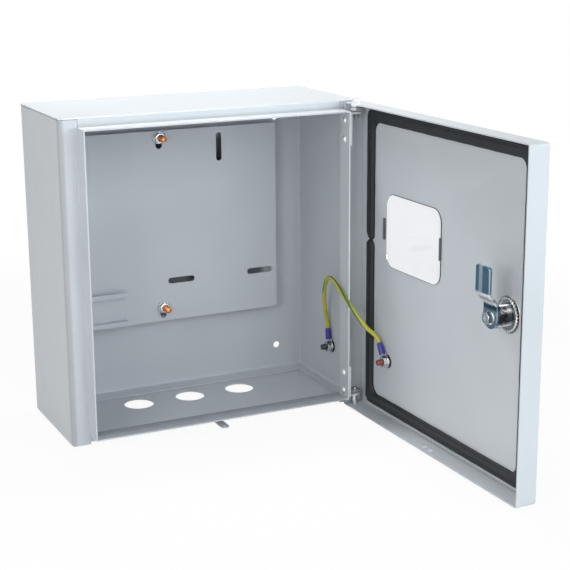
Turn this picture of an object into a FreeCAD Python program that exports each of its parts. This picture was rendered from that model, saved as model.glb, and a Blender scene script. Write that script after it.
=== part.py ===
import FreeCAD, Part
import math
import os
import Sketcher

# Wall cabinet of folded sheet steel with a hinged, windowed door, shown with its door open.
#
# Two sets of coordinates are used, both in millimetres:
# the closed frame, in which every piece is drawn, has x to the right, y towards the wall with
# zero on the front face of the cabinet's flanges, and z up from the underside of the floor;
# the part frame, which the files use, has its origin on the back face, in the middle of the
# four wall holes. The door and the latch are drawn shut and then turned about the hinge.

V = FreeCAD.Vector
doc = FreeCAD.newDocument("cabinet")
dims = doc.addObject("Spreadsheet::Sheet", "dims")


class Dim:
    """A size that knows its value and the formula that ties it to the sheet."""

    def __init__(self, text, value):
        self.text = text
        self.value = float(value)

    def _join(self, other, sign, swap=False):
        other = other if isinstance(other, Dim) else Dim(repr(float(other)), other)
        a, b = (other, self) if swap else (self, other)
        value = {
            "+": lambda: a.value + b.value,
            "-": lambda: a.value - b.value,
            "*": lambda: a.value * b.value,
            "/": lambda: a.value / b.value,
        }[sign]()
        return Dim(f"({a.text} {sign} {b.text})", value)

    def __add__(self, other):
        return self._join(other, "+")

    def __radd__(self, other):
        return self._join(other, "+", True)

    def __sub__(self, other):
        return self._join(other, "-")

    def __rsub__(self, other):
        return self._join(other, "-", True)

    def __mul__(self, other):
        return self._join(other, "*")

    def __rmul__(self, other):
        return self._join(other, "*", True)

    def __truediv__(self, other):
        return self._join(other, "/")

    def __neg__(self):
        return Dim(f"(0 - {self.text})", -self.value)


row_count = 0


def size(alias, value):
    """Write one driving dimension into the sheet and hand it back."""
    global row_count
    row_count += 1
    dims.set(f"A{row_count}", alias)
    dims.set(f"B{row_count}", str(value))
    dims.setAlias(f"B{row_count}", alias)
    return Dim(f"dims.{alias}", value)


# Driving dimensions

# cabinet body
width = size("width", 300.0)
height = size("height", 310.0)
depth = size("depth", 125.0)
metal = size("metal", 1.2)                      # sheet thickness of body and door
front_bend = size("front_bend", 4.0)            # outer radius of the upright front corners
edge_bend = size("edge_bend", 2.4)              # outer radius of the other bends
side_inset = size("side_inset", 17.8)           # wall to the opening, left and right
top_inset = size("top_inset", 9.8)              # top of the cabinet to the opening
bottom_inset = size("bottom_inset", 10.7)       # underside to the opening
seam = size("seam", 0.4)                        # open seam between the lid and the walls
rear_lap = size("rear_lap", 9.0)                # height of the lid's lap behind
floor_rise = size("floor_rise", 2.0)            # the floor lies this far above the walls' ends
foot_side = size("foot_side", 10.5)             # side walls' feet folded in over the floor
foot_rear = size("foot_rear", 19.0)             # back wall's foot folded in over the floor
foot_start = size("foot_start", 14.0)           # feet of the side walls start this far back
foot_bend = size("foot_bend", 2.0)              # inner radius between walls and feet
lap_end = size("lap_end", 3.0)                  # laps stop this far from the side walls

# wall fixing and cable entry
wall_hole = size("wall_hole", 7.0)
wall_inset = size("wall_inset", 30.0)           # wall holes from the cabinet's edges
cable_hole = size("cable_hole", 30.0)
cable_pitch = size("cable_pitch", 55.7)
cable_mid_x = size("cable_mid_x", 0.0)
cable_y = size("cable_y", 80.0)

# sealing lug under the floor
lug_width = size("lug_width", 8.2)
lug_reach = size("lug_reach", 16.0)
lug_root = size("lug_root", 13.0)
lug_step = size("lug_step", 3.4)                # behind the face of the flanges
lug_gap = size("lug_gap", 0.4)                  # below the shut door
lug_metal = size("lug_metal", 1.2)
lug_hole = size("lug_hole", 3.2)
lug_hole_y = size("lug_hole_y", 12.6)

# mounting panel, its slots and the rail on it
panel_left_inset = size("panel_left_inset", 34.0)  # panel from the cabinet's side walls
panel_right_inset = size("panel_right_inset", 36.0)
panel_bottom = size("panel_bottom", 78.3)
panel_top_inset = size("panel_top_inset", 34.0)  # panel from the top of the cabinet
panel_metal = size("panel_metal", 1.5)
panel_standoff = size("panel_standoff", 12.3)   # back wall to the panel
panel_corner = size("panel_corner", 3.0)
slot_width = size("slot_width", 6.2)
slot_length = size("slot_length", 29.2)
meter_x = size("meter_x", 50.3)                 # middle of the three fixing slots
meter_pitch = size("meter_pitch", 89.0)         # between the two level slots
meter_top_inset = size("meter_top_inset", 20.7)  # upright slot from the panel's top
meter_low_z = size("meter_low_z", 119.9)
rail_start = size("rail_start", 4.0)            # panel's left edge to the rail
rail_length = size("rail_length", 56.0)
rail_z = size("rail_z", 97.3)
rail_width = size("rail_width", 35.0)
rail_web = size("rail_web", 27.0)
rail_depth = size("rail_depth", 7.5)
rail_metal = size("rail_metal", 1.0)

# studs that carry the panel
thread = size("thread", 6.0)
stud_x = size("stud_x", -15.0)
stud_top_inset = size("stud_top_inset", 6.8)    # upper stud from the panel's top
stud_low_z = size("stud_low_z", 93.0)
stud_length = size("stud_length", 30.0)
stud_slot_down = size("stud_slot_down", 11.6)   # panel slot below each stud
stud_slot_up = size("stud_slot_up", 4.0)
stud_slot = size("stud_slot", 7.0)
spacer_outer = size("spacer_outer", 10.0)
washer_outer = size("washer_outer", 12.6)
washer_metal = size("washer_metal", 1.2)
nut_flats = size("nut_flats", 10.0)
nut_height = size("nut_height", 5.0)
fit_gap = size("fit_gap", 0.1)                  # clearance on radius of assembled round pieces

# earthing points
earth_y = size("earth_y", 47.5)
earth_z = size("earth_z", 45.5)
earth_stud = size("earth_stud", 12.5)
earth_washer = size("earth_washer", 1.0)
earth_disc = size("earth_disc", 12.0)
door_earth_inset = size("door_earth_inset", 54.5)  # from the side wall at the hinge
door_earth_z = size("door_earth_z", 58.5)
terminal_ring = size("terminal_ring", 10.6)
terminal_metal = size("terminal_metal", 1.0)
terminal_neck = size("terminal_neck", 4.6)
barrel_start = size("barrel_start", 7.2)
barrel_length = size("barrel_length", 7.0)
barrel_outer = size("barrel_outer", 4.4)
sleeve_start = size("sleeve_start", 7.6)
sleeve_length = size("sleeve_length", 12.0)
sleeve_outer = size("sleeve_outer", 6.2)
terminal_tilt = size("terminal_tilt", 6.0)
door_terminal_tilt = size("door_terminal_tilt", 34.0)
wire = size("wire", 4.2)
wire_lead = size("wire_lead", 7.0)              # straight run out of each sleeve

# door
door_angle = size("door_angle", 91.0)           # how far the door stands open
door_gap = size("door_gap", 4.0)                # flange of the cabinet to the door's rim
door_depth = size("door_depth", 21.0)
door_side_play = size("door_side_play", 0.3)
door_end_play = size("door_end_play", 1.0)
gasket_width = size("gasket_width", 12.0)
gasket_height = size("gasket_height", 4.0)
gasket_inset = size("gasket_inset", 2.9)        # centre line of the gasket inside the opening
gasket_end = size("gasket_end", 12.5)           # centre line from the top of the cabinet
gasket_corner = size("gasket_corner", 8.0)
seal_gap = size("seal_gap", 0.3)                # clearance around the lip in its groove
groove_depth = size("groove_depth", 0.8)        # groove worn into the gasket by the lip
seal_hole = size("seal_hole", 3.0)
seal_pitch = size("seal_pitch", 10.4)
seal_y = size("seal_y", 10.4)

# window
window_inset = size("window_inset", 97.8)       # middle from the side wall at the hinge
window_z = size("window_z", 190.5)
window_width = size("window_width", 96.7)
window_height = size("window_height", 72.0)
window_corner = size("window_corner", 13.0)
window_rim = size("window_rim", 4.0)
window_play = size("window_play", 0.3)
pane_metal = size("pane_metal", 1.6)
pane_depth = size("pane_depth", 2.6)
catch_length = size("catch_length", 20.0)
catch_reach = size("catch_reach", 1.6)
catch_height = size("catch_height", 2.4)

# hinge
hinge_inset = size("hinge_inset", 6.7)          # pin axis inside the side wall
hinge_y = size("hinge_y", 13.4)                 # pin axis in front of the cabinet's flanges
pin_radius = size("pin_radius", 2.8)
pin_play = size("pin_play", 0.05)
hinge_flats = size("hinge_flats", 10.0)
hinge_head_flats = size("hinge_head_flats", 8.0)
hinge_nut = size("hinge_nut", 3.7)
hinge_head = size("hinge_head", 3.0)
bracket_metal = size("bracket_metal", 1.5)
bracket_length = size("bracket_length", 32.0)
bracket_front = size("bracket_front", 18.4)
bracket_back = size("bracket_back", 5.0)
bracket_end = size("bracket_end", 1.6)          # upper bracket below the lip's upper end
bracket_foot = size("bracket_foot", 2.1)        # lower bracket above the lip's lower end
pin_tail = size("pin_tail", 3.8)                # end of the upper bolt below its ear
ear_metal = size("ear_metal", 2.0)
ear_radius = size("ear_radius", 4.8)
rivet = size("rivet", 3.2)
rivet_head = size("rivet_head", 7.0)
rivet_dome = size("rivet_dome", 1.8)
rivet_tail = size("rivet_tail", 1.2)
rivet_y = size("rivet_y", 9.8)
rivet_pitch = size("rivet_pitch", 18.4)
rivet_end = size("rivet_end", 8.2)
rivet_low_end = size("rivet_low_end", 5.2)
notch_depth = size("notch_depth", 4.2)          # relief in the door's rim beside each bracket

# lock
lock_inset = size("lock_inset", 47.0)           # lock axis from the free side wall
lock_z = size("lock_z", 156.2)
lock_barrel = size("lock_barrel", 20.0)
lock_reach = size("lock_reach", 16.0)           # barrel end over the door's inner face
lock_head = size("lock_head", 28.0)
lock_head_height = size("lock_head_height", 4.0)
lock_seal_height = size("lock_seal_height", 1.2)
lock_seal_edge = size("lock_seal_edge", 0.8)    # seal inside the rim of the head
ring_outer = size("ring_outer", 33.0)
ring_height = size("ring_height", 3.0)
plug_outer = size("plug_outer", 13.9)
plug_bore_play = size("plug_bore_play", 0.05)
plug_step = size("plug_step", 1.0)
plug_square = size("plug_square", 8.0)
key_width = size("key_width", 1.8)
key_height = size("key_height", 8.4)
key_depth = size("key_depth", 9.0)
cam_metal = size("cam_metal", 2.5)
cam_width = size("cam_width", 19.0)
cam_back = size("cam_back", 10.0)
cam_reach = size("cam_reach", 44.8)
cam_crank = size("cam_crank", 8.8)              # step of the cranked tongue
crank_start = size("crank_start", 11.0)
crank_end = size("crank_end", 22.0)
bolt_flats = size("bolt_flats", 10.0)
bolt_head = size("bolt_head", 4.0)
bolt_length = size("bolt_length", 9.0)

# Places that follow from the driving dimensions

zero = Dim("0", 0)
half_width = width / 2
open_half = half_width - side_inset             # half of the opening
open_low = bottom_inset
open_high = height - top_inset
mid_z = height / 2
lip = door_gap + door_depth - metal - gasket_height + groove_depth - seal_gap   # lip length
back_in = depth - metal                         # inner face of the back wall
skin = -(door_gap + door_depth)                 # outer face of the shut door
skin_in = skin + metal
door_half = half_width - door_side_play
door_low = door_end_play
lug_top = door_low - lug_gap
door_high = height - door_end_play
panel_y = back_in - panel_standoff - panel_metal    # front face of the panel
panel_left = panel_left_inset - half_width
panel_right = half_width - panel_right_inset
panel_top = height - panel_top_inset
meter_top_z = panel_top - meter_top_inset
stud_top_z = panel_top - stud_top_inset
rail_left = panel_left + rail_start
gasket_half_x = open_half - gasket_inset
gasket_half_z = mid_z - gasket_end
window_x = half_width - window_inset
hinge_x = half_width - hinge_inset
lock_x = lock_inset - half_width
door_earth_x = half_width - door_earth_inset
door_cos = Dim(f"cos({door_angle.text})", math.cos(math.radians(door_angle.value)))
door_sin = Dim(f"sin({door_angle.text})", math.sin(math.radians(door_angle.value)))
lip_low = open_low - metal
lip_high = open_high + metal


# Drawing helpers

def bind(item, prop, dim):
    """Tie one property of an object to the sheet."""
    if isinstance(dim, Dim):
        item.setExpression(prop, dim.text)
    else:
        item.setExpression(prop, repr(float(dim)))


def value_of(dim):
    return dim.value if isinstance(dim, Dim) else float(dim)


def new_body(name):
    return doc.addObject("PartDesign::Body", name)


def new_sketch(body, name, role, offset=None):
    """A sketch on one origin plane of its own body, moved along the plane's normal."""
    sketch = body.newObject("Sketcher::SketchObject", name)
    plane = [item for item in body.Origin.OriginFeatures if item.Role == role][0]
    sketch.AttachmentSupport = (plane, [""])
    sketch.MapMode = "FlatFace"
    if offset is not None:
        bind(sketch, "AttachmentOffset.Base.z", offset)
    return sketch


def lock_point(sketch, geometry, end, point):
    """Tie one end of a line, or a centre, to its two distances from the origin."""
    for kind, dim in zip(("DistanceX", "DistanceY"), point):
        index = sketch.addConstraint(
            Sketcher.Constraint(kind, -1, 1, geometry, end, value_of(dim)))
        bind(sketch, f"Constraints[{index}]", dim)


def draw_outline(sketch, points):
    """A closed outline of straight lines through the given points."""
    first = sketch.GeometryCount
    corners = [V(value_of(x), value_of(y), 0) for x, y in points]
    count = len(corners)
    for i in range(count):
        sketch.addGeometry(Part.LineSegment(corners[i], corners[(i + 1) % count]), False)
    for i in range(count):
        following = first + (i + 1) % count
        sketch.addConstraint(Sketcher.Constraint("Coincident", first + i, 2, following, 1))
    for i, point in enumerate(points):
        lock_point(sketch, first + i, 1, point)


def draw_rectangle(sketch, x0, y0, x1, y1):
    draw_outline(sketch, [(x0, y0), (x1, y0), (x1, y1), (x0, y1)])


def draw_circle(sketch, x, y, radius):
    index = sketch.GeometryCount
    centre = V(value_of(x), value_of(y), 0)
    sketch.addGeometry(Part.Circle(centre, V(0, 0, 1), value_of(radius)), False)
    lock_point(sketch, index, 3, (x, y))
    row = sketch.addConstraint(Sketcher.Constraint("Radius", index, value_of(radius)))
    bind(sketch, f"Constraints[{row}]", radius)


def draw_slot(sketch, x, y, half_run, radius, upright):
    """A round-ended slot: two lines joined by two tangent half circles."""
    first = sketch.GeometryCount
    cx, cy = value_of(x), value_of(y)
    run, r = value_of(half_run), value_of(radius)
    turn = 90.0 if upright else 0.0

    def at(u, v):
        a = math.radians(turn)
        return V(cx + u * math.cos(a) - v * math.sin(a), cy + u * math.sin(a) + v * math.cos(a), 0)

    def half_circle(u, start):
        circle = Part.Circle(at(u, 0), V(0, 0, 1), r)
        begin = math.radians(start + turn)
        return Part.ArcOfCircle(circle, begin, begin + math.pi)

    sketch.addGeometry(half_circle(run, -90), False)
    sketch.addGeometry(Part.LineSegment(at(run, r), at(-run, r)), False)
    sketch.addGeometry(half_circle(-run, 90), False)
    sketch.addGeometry(Part.LineSegment(at(-run, -r), at(run, -r)), False)
    for i in range(4):
        sketch.addConstraint(Sketcher.Constraint("Tangent", first + i, 2, first + (i + 1) % 4, 1))
    if upright:
        ends = ((x, y + half_run), (x, y - half_run))
    else:
        ends = ((x + half_run, y), (x - half_run, y))
    lock_point(sketch, first, 3, ends[0])
    lock_point(sketch, first + 2, 3, ends[1])
    row = sketch.addConstraint(Sketcher.Constraint("Radius", first, r))
    bind(sketch, f"Constraints[{row}]", radius)


def pad(body, sketch, length, both=False, back=False):
    """Thicken a sketch: along its normal, against it, or half to each side."""
    feature = body.newObject("PartDesign::Pad", sketch.Name + "_pad")
    feature.Profile = sketch
    feature.Midplane = both
    feature.Reversed = back
    bind(feature, "Length", length)
    sketch.Visibility = False
    return feature


def pocket(body, sketch, length, back=False, both=False):
    """Cut a sketch out of the body, against its normal unless turned back."""
    doc.recompute()
    before = body.Shape.Volume
    feature = body.newObject("PartDesign::Pocket", sketch.Name + "_cut")
    feature.Profile = sketch
    feature.Midplane = both
    feature.Reversed = back
    bind(feature, "Length", length)
    doc.recompute()
    if not body.Shape.Volume < before - 0.01:
        raise RuntimeError(f"{sketch.Name} cuts nothing")
    return feature


def edges_through(shape, axis, places, reach=0.02):
    """Names of the straight edges along an axis that pass through the given places.

    A place gives the edge's two other coordinates, in the order of x, y, z.
    """
    along = "xyz".index(axis)
    others = [i for i in range(3) if i != along]
    names = []
    for number, edge in enumerate(shape.Edges, 1):
        ends = [vertex.Point for vertex in edge.Vertexes]
        if len(ends) != 2 or edge.Length < abs(ends[0][along] - ends[1][along]) - reach:
            continue
        if edge.Length > abs(ends[0][along] - ends[1][along]) + reach:
            continue
        for place in places:
            if all(abs(ends[0][i] - value_of(p)) < reach for i, p in zip(others, place)):
                names.append(f"Edge{number}")
                break
    return names


def fillet(body, name, radius, axis, places):
    """Round the straight edges along an axis at the given places."""
    doc.recompute()
    names = edges_through(body.Shape, axis, places)
    if len(names) < len(places):
        raise RuntimeError(f"{name} finds {len(names)} of {len(places)} edges")
    base = body.Tip
    feature = body.newObject("PartDesign::Fillet", name)
    feature.Base = (base, names)
    bind(feature, "Radius", radius)
    doc.recompute()
    return feature


X_AXIS, Y_AXIS, Z_AXIS = "xyz"
TURNS = {
    "z": FreeCAD.Rotation(),
    "z flats": FreeCAD.Rotation(V(0, 0, 1), 30),    # upright, a hexagon's flats facing x
    "x": FreeCAD.Rotation(V(0, 1, 0), 90),
    "y": FreeCAD.Rotation(V(1, 0, 0), -90),
}


def put(item, x, y, z, along="z"):
    """Stand a primitive at a place, with its own z along the named axis."""
    item.Placement = FreeCAD.Placement(V(0, 0, 0), TURNS[along])
    for name, dim in zip("xyz", (x, y, z)):
        bind(item, f"Placement.Base.{name}", dim)
    return item


def cylinder(name, radius, length, x, y, z, along="z"):
    item = doc.addObject("Part::Cylinder", name)
    bind(item, "Radius", radius)
    bind(item, "Height", length)
    return put(item, x, y, z, along)


def hexagon(name, flats, length, x, y, z, along="z"):
    item = doc.addObject("Part::Prism", name)
    item.Polygon = 6
    bind(item, "Circumradius", flats / math.sqrt(3))
    bind(item, "Height", length)
    return put(item, x, y, z, along)


def box(name, length_x, length_y, length_z, x, y, z):
    item = doc.addObject("Part::Box", name)
    bind(item, "Length", length_x)
    bind(item, "Width", length_y)
    bind(item, "Height", length_z)
    return put(item, x, y, z)


def fused(name, items):
    item = doc.addObject("Part::MultiFuse", name)
    item.Shapes = items
    return item


def less(name, base, tool):
    item = doc.addObject("Part::Cut", name)
    item.Base = base
    item.Tool = tool
    return item


def group(name, items):
    item = doc.addObject("Part::Compound", name)
    item.Links = items
    return item


def ring(name, outer, hole, length, x, y, z, along):
    """A round washer or spacer on an axis; outer and hole are diameters."""
    return less(name, cylinder(name + "_disc", outer / 2, length, x, y, z, along),
                cylinder(name + "_hole", hole / 2, length, x, y, z, along))


def hex_nut(name, flats, hole, length, x, y, z, along):
    return less(name, hexagon(name + "_hex", flats, length, x, y, z, along),
                cylinder(name + "_hole", hole / 2, length, x, y, z, along))


# Where the pieces stand: the cabinet is only moved, the door is also turned about its pins

parts = []


def finish(item, name, on_door=False):
    """Name a finished sub-part and move it from the closed frame to where it stands."""
    item.Label = name
    if on_door:
        turned_x = hinge_x * door_cos + hinge_y * door_sin
        turned_y = hinge_x * door_sin - hinge_y * door_cos
        bind(item, "Placement.Base.x", hinge_x - turned_x)
        bind(item, "Placement.Base.y", -hinge_y - turned_y - depth)
        bind(item, "Placement.Rotation.Angle", door_angle)
    else:
        bind(item, "Placement.Base.y", -depth)
    bind(item, "Placement.Base.z", -mid_z)
    parts.append(item)


def place_of(on_door):
    """The same move as a placement, for the points of the wire."""
    to_part = FreeCAD.Placement(V(0, -depth.value, -mid_z.value), FreeCAD.Rotation())
    if not on_door:
        return to_part
    pin_foot = V(hinge_x.value, -hinge_y.value, 0)
    turn = FreeCAD.Rotation(V(0, 0, 1), door_angle.value)
    return to_part.multiply(FreeCAD.Placement(V(0, 0, 0), turn, pin_foot))


# Cabinet: shell, lid and floor

def make_shell():
    """Side walls and back folded from one sheet: flanges and lips in front, feet below."""
    body = new_body("shell")
    plan = new_sketch(body, "shell_plan", "XY_Plane")
    out, inner = half_width, half_width - metal
    lip_out = open_half + metal
    right = [(lip_out, -lip), (lip_out, 0), (out, 0), (out, depth)]
    inside = [(inner, back_in), (inner, metal), (open_half, metal), (open_half, -lip)]
    mirrored = [(-x, y) for x, y in right]
    outline = right + mirrored[::-1] + [(-x, y) for x, y in inside[::-1]] + inside
    draw_outline(plan, outline)
    pad(body, plan, height - metal - seam)
    sides = (-1, 1)
    fillet(body, "front_corners", front_bend, Z_AXIS, [(out * s, 0) for s in sides])
    fillet(body, "front_corners_in", front_bend - metal, Z_AXIS, [(inner * s, metal) for s in sides])
    fillet(body, "rear_corners", edge_bend, Z_AXIS, [(out * s, depth) for s in sides])
    fillet(body, "rear_corners_in", edge_bend - metal, Z_AXIS, [(inner * s, back_in) for s in sides])
    fillet(body, "lip_roots", edge_bend, Z_AXIS, [(open_half * s, metal) for s in sides])
    fillet(body, "lip_roots_in", edge_bend - metal, Z_AXIS, [(lip_out * s, 0) for s in sides])

    foot_low = floor_rise + metal + seam
    feet = new_sketch(body, "shell_feet", "XY_Plane", foot_low)
    side_end, rear_end = inner - foot_side, back_in - foot_rear
    draw_outline(feet, [(-inner, foot_start), (-side_end, foot_start), (-side_end, rear_end),
                        (side_end, rear_end), (side_end, foot_start), (inner, foot_start),
                        (inner, back_in), (-inner, back_in)])
    pad(body, feet, metal)
    fillet(body, "foot_bends", foot_bend, Y_AXIS, [(inner * s, foot_low + metal) for s in sides])

    ends = new_sketch(body, "lip_ends", "XZ_Plane")
    for s in sides:
        x0, x1 = sorted((open_half * s - metal * s, (lip_out + metal) * s), key=value_of)
        draw_rectangle(ends, x0, -metal, x1, lip_low)
        draw_rectangle(ends, x0, lip_high, x1, height)
    pocket(body, ends, lip + metal, back=True)

    holes = new_sketch(body, "wall_holes", "XZ_Plane", -depth)
    for sx in sides:
        for sz in sides:
            draw_circle(holes, (half_width - wall_inset) * sx, mid_z + (mid_z - wall_inset) * sz,
                        wall_hole / 2)
    pocket(body, holes, metal * 2, back=True)

    rivets = new_sketch(body, "rivet_holes", "YZ_Plane", open_half)
    for z in rivet_heights:
        draw_circle(rivets, -rivet_y, z, rivet / 2 + fit_gap)
    pocket(body, rivets, metal, back=True)
    finish(body, "cabinet_shell")


def make_lid():
    """Lid over the walls, folded down behind and down and forward in front."""
    body = new_body("lid")
    sheet_top = new_sketch(body, "lid_sheet", "YZ_Plane")
    under = height - metal
    draw_rectangle(sheet_top, 0, under, depth, height)
    pad(body, sheet_top, width, both=True)
    front = new_sketch(body, "lid_front", "YZ_Plane")
    draw_outline(front, [(-lip, open_high), (metal, open_high), (metal, under), (0, under),
                         (0, lip_high), (-lip, lip_high)])
    pad(body, front, open_half * 2, both=True)
    rear = new_sketch(body, "lid_rear", "YZ_Plane")
    draw_rectangle(rear, back_in - metal, under - rear_lap, back_in, under)
    pad(body, rear, (half_width - metal - lap_end) * 2, both=True)
    fillet(body, "lid_front_bend", edge_bend, X_AXIS, [(0, height)])
    finish(body, "top_plate")


def make_floor():
    """Floor with the cable entries, folded up and forward in front."""
    body = new_body("floor")
    inner = half_width - metal
    plan = new_sketch(body, "floor_plan", "XY_Plane", floor_rise)
    draw_rectangle(plan, -inner, metal, inner, back_in)
    pad(body, plan, metal)
    corner_places = [(inner * sx, y) for sx in (-1, 1) for y in (metal, back_in)]
    fillet(body, "floor_corners", front_bend, Z_AXIS, corner_places)
    front = new_sketch(body, "floor_front", "YZ_Plane")
    draw_outline(front, [(0, floor_rise), (metal, floor_rise), (metal, open_low), (-lip, open_low),
                         (-lip, lip_low), (0, lip_low)])
    pad(body, front, open_half * 2, both=True)
    fillet(body, "floor_front_bend", edge_bend - metal / 2, X_AXIS, [(0, floor_rise)])
    entries = new_sketch(body, "cable_entries", "XY_Plane", floor_rise)
    for step in (-1, 0, 1):
        draw_circle(entries, cable_mid_x + cable_pitch * step, cable_y, cable_hole / 2)
    pocket(body, entries, metal, back=True)
    finish(body, "bottom_plate")


def make_seal_lug():
    """Strip under the floor, stepped down in front, with a hole for a sealing wire."""
    body = new_body("lug")
    low, root_low = lug_top - lug_metal, floor_rise - lug_metal
    side = new_sketch(body, "lug_side", "YZ_Plane")
    draw_outline(side, [(-lug_reach, low), (lug_step, low), (lug_step, root_low),
                        (lug_root, root_low), (lug_root, floor_rise),
                        (lug_step - lug_metal, floor_rise), (lug_step - lug_metal, lug_top),
                        (-lug_reach, lug_top)])
    pad(body, side, lug_width, both=True)
    places = [(lug_width / 2 * s, -lug_reach) for s in (-1, 1)]
    fillet(body, "lug_end", lug_width * 0.45, Z_AXIS, places)
    hole = new_sketch(body, "lug_eye", "XY_Plane", low)
    draw_circle(hole, zero, -lug_hole_y, lug_hole / 2)
    pocket(body, hole, lug_metal, back=True)
    finish(body, "seal_lug")


# Mounting panel with its rail and fixings

def make_panel():
    """Flat panel for the apparatus, with fixing slots and the slots of its studs."""
    body = new_body("panel")
    front = new_sketch(body, "panel_front", "XZ_Plane", -(panel_y + panel_metal))
    draw_rectangle(front, panel_left, panel_bottom, panel_right, panel_top)
    pad(body, front, panel_metal)
    places = [(x, z) for x in (panel_left, panel_right) for z in (panel_bottom, panel_top)]
    fillet(body, "panel_corners", panel_corner, Y_AXIS, places)
    slots = new_sketch(body, "panel_slots", "XZ_Plane", -(panel_y + panel_metal))
    run = (slot_length - slot_width) / 2
    draw_slot(slots, meter_x, meter_top_z, run, slot_width / 2, True)
    for s in (-1, 1):
        draw_slot(slots, meter_x + meter_pitch / 2 * s, meter_low_z, run, slot_width / 2, False)
    stud_run = (stud_slot_down + stud_slot_up - stud_slot) / 2
    for z in (stud_top_z, stud_low_z):
        middle = z + (stud_slot_up - stud_slot_down) / 2
        draw_slot(slots, stud_x, middle, stud_run, stud_slot / 2, True)
    pocket(body, slots, panel_metal, back=True)
    finish(body, "mounting_panel")


def make_rail():
    """Short top-hat rail on the lower left of the panel."""
    body = new_body("rail")
    section = new_sketch(body, "rail_section", "YZ_Plane", rail_left)
    base = panel_y
    crest = panel_y - rail_depth
    half, web = rail_width / 2, rail_web / 2
    upper = [(base, rail_z + web), (crest + rail_metal, rail_z + web),
             (crest + rail_metal, rail_z + half), (crest, rail_z + half),
             (crest, rail_z + web - rail_metal), (base - rail_metal, rail_z + web - rail_metal)]
    lower = [(y, rail_z * 2 - z) for y, z in upper[::-1]]
    draw_outline(section, upper + lower)
    pad(body, section, rail_length)
    finish(body, "din_rail")


def make_panel_fixings():
    """Two welded studs with a spacer behind the panel, and a washer and nut before it."""
    studs, spacers, washers, nuts = [], [], [], []
    for row, z in (("top", stud_top_z), ("low", stud_low_z)):
        studs.append(cylinder(f"stud_{row}", thread / 2, stud_length,
                              stud_x, back_in - stud_length, z, "y"))
        spacers.append(ring(f"spacer_{row}", spacer_outer, thread + fit_gap * 2, panel_standoff,
                            stud_x, back_in - panel_standoff, z, "y"))
        washers.append(ring(f"washer_{row}", washer_outer, thread + fit_gap * 2, washer_metal,
                            stud_x, panel_y - washer_metal, z, "y"))
        nuts.append(hex_nut(f"nut_{row}", nut_flats, thread + fit_gap * 2, nut_height,
                            stud_x, panel_y - washer_metal - nut_height, z, "y"))
    finish(group("studs", studs), "panel_studs")
    finish(group("spacers", spacers), "panel_spacers")
    finish(group("washers", washers), "panel_washers")
    finish(group("nuts", nuts), "panel_nuts")


# Earthing: a stud, washer, nut and cable terminal at each end of the wire

def terminal_frame(point, outward, tilt):
    """Placement whose z runs out of the carrying sheet and whose y runs along the sleeve."""
    z = V(*outward)
    up = V(0, 0, 1)
    side = up.cross(z)
    lean = math.radians(tilt)
    y = up * math.cos(lean) + side * math.sin(lean)
    x = y.cross(z)
    matrix = FreeCAD.Matrix(x.x, y.x, z.x, point.x, x.y, y.y, z.y, point.y,
                            x.z, y.z, z.z, point.z, 0, 0, 0, 1)
    return FreeCAD.Placement(matrix)


def make_earth_point(owner, frame, on_door):
    """Stack on one welded stud, drawn on its own z axis: washer, cable terminal and nut."""
    bore = thread + fit_gap * 2
    stud = cylinder(f"{owner}_stud", thread / 2, earth_stud, zero, zero, zero)
    disc = ring(f"{owner}_disc", earth_disc, bore, earth_washer, zero, zero, zero, "z")
    nut_foot = earth_washer + terminal_metal
    nut = hex_nut(f"{owner}_hexnut", nut_flats, bore, nut_height, zero, zero, nut_foot, "z")

    eye = cylinder(f"{owner}_eye", terminal_ring / 2, terminal_metal, zero, zero, earth_washer)
    neck = box(f"{owner}_neck", terminal_neck, barrel_start + terminal_metal, terminal_metal,
               -terminal_neck / 2, zero, earth_washer)
    barrel_z = earth_washer + terminal_metal / 2 + barrel_outer / 2
    barrel = cylinder(f"{owner}_barrel", barrel_outer / 2, barrel_length,
                      zero, barrel_start, barrel_z, "y")
    terminal = less(f"{owner}_terminal", fused(f"{owner}_terminal_solid", [eye, neck, barrel]),
                    cylinder(f"{owner}_eye_hole", bore / 2, terminal_metal, zero, zero, earth_washer))
    room_length = barrel_start + barrel_length - sleeve_start + fit_gap
    barrel_room = cylinder(f"{owner}_barrel_room", barrel_outer / 2 + fit_gap, room_length,
                           zero, sleeve_start, barrel_z, "y")
    neck_room = box(f"{owner}_neck_room", terminal_neck + fit_gap * 2, terminal_metal + fit_gap,
                    sleeve_outer, -terminal_neck / 2 - fit_gap, sleeve_start, -sleeve_outer / 2)
    outside = cylinder(f"{owner}_sleeve_body", sleeve_outer / 2, sleeve_length,
                       zero, sleeve_start, barrel_z, "y")
    sleeve = less(f"{owner}_sleeve", outside,
                  fused(f"{owner}_sleeve_room", [barrel_room, neck_room]))
    for piece, name in ((stud, "earth_stud"), (disc, "earth_washer"), (nut, "earth_nut"),
                        (terminal, "cable_terminal"), (sleeve, "terminal_sleeve")):
        turned = group(f"{owner}_{name}_turned", [piece])
        turned.Placement = frame
        finish(group(f"{owner}_{name}_placed", [turned]), f"{owner}_{name}", on_door)
    where = place_of(on_door).multiply(frame)
    sleeve_end = V(0, (sleeve_start + sleeve_length).value, barrel_z.value)
    return where.multVec(sleeve_end), where.Rotation.multVec(V(0, 1, 0))


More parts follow.
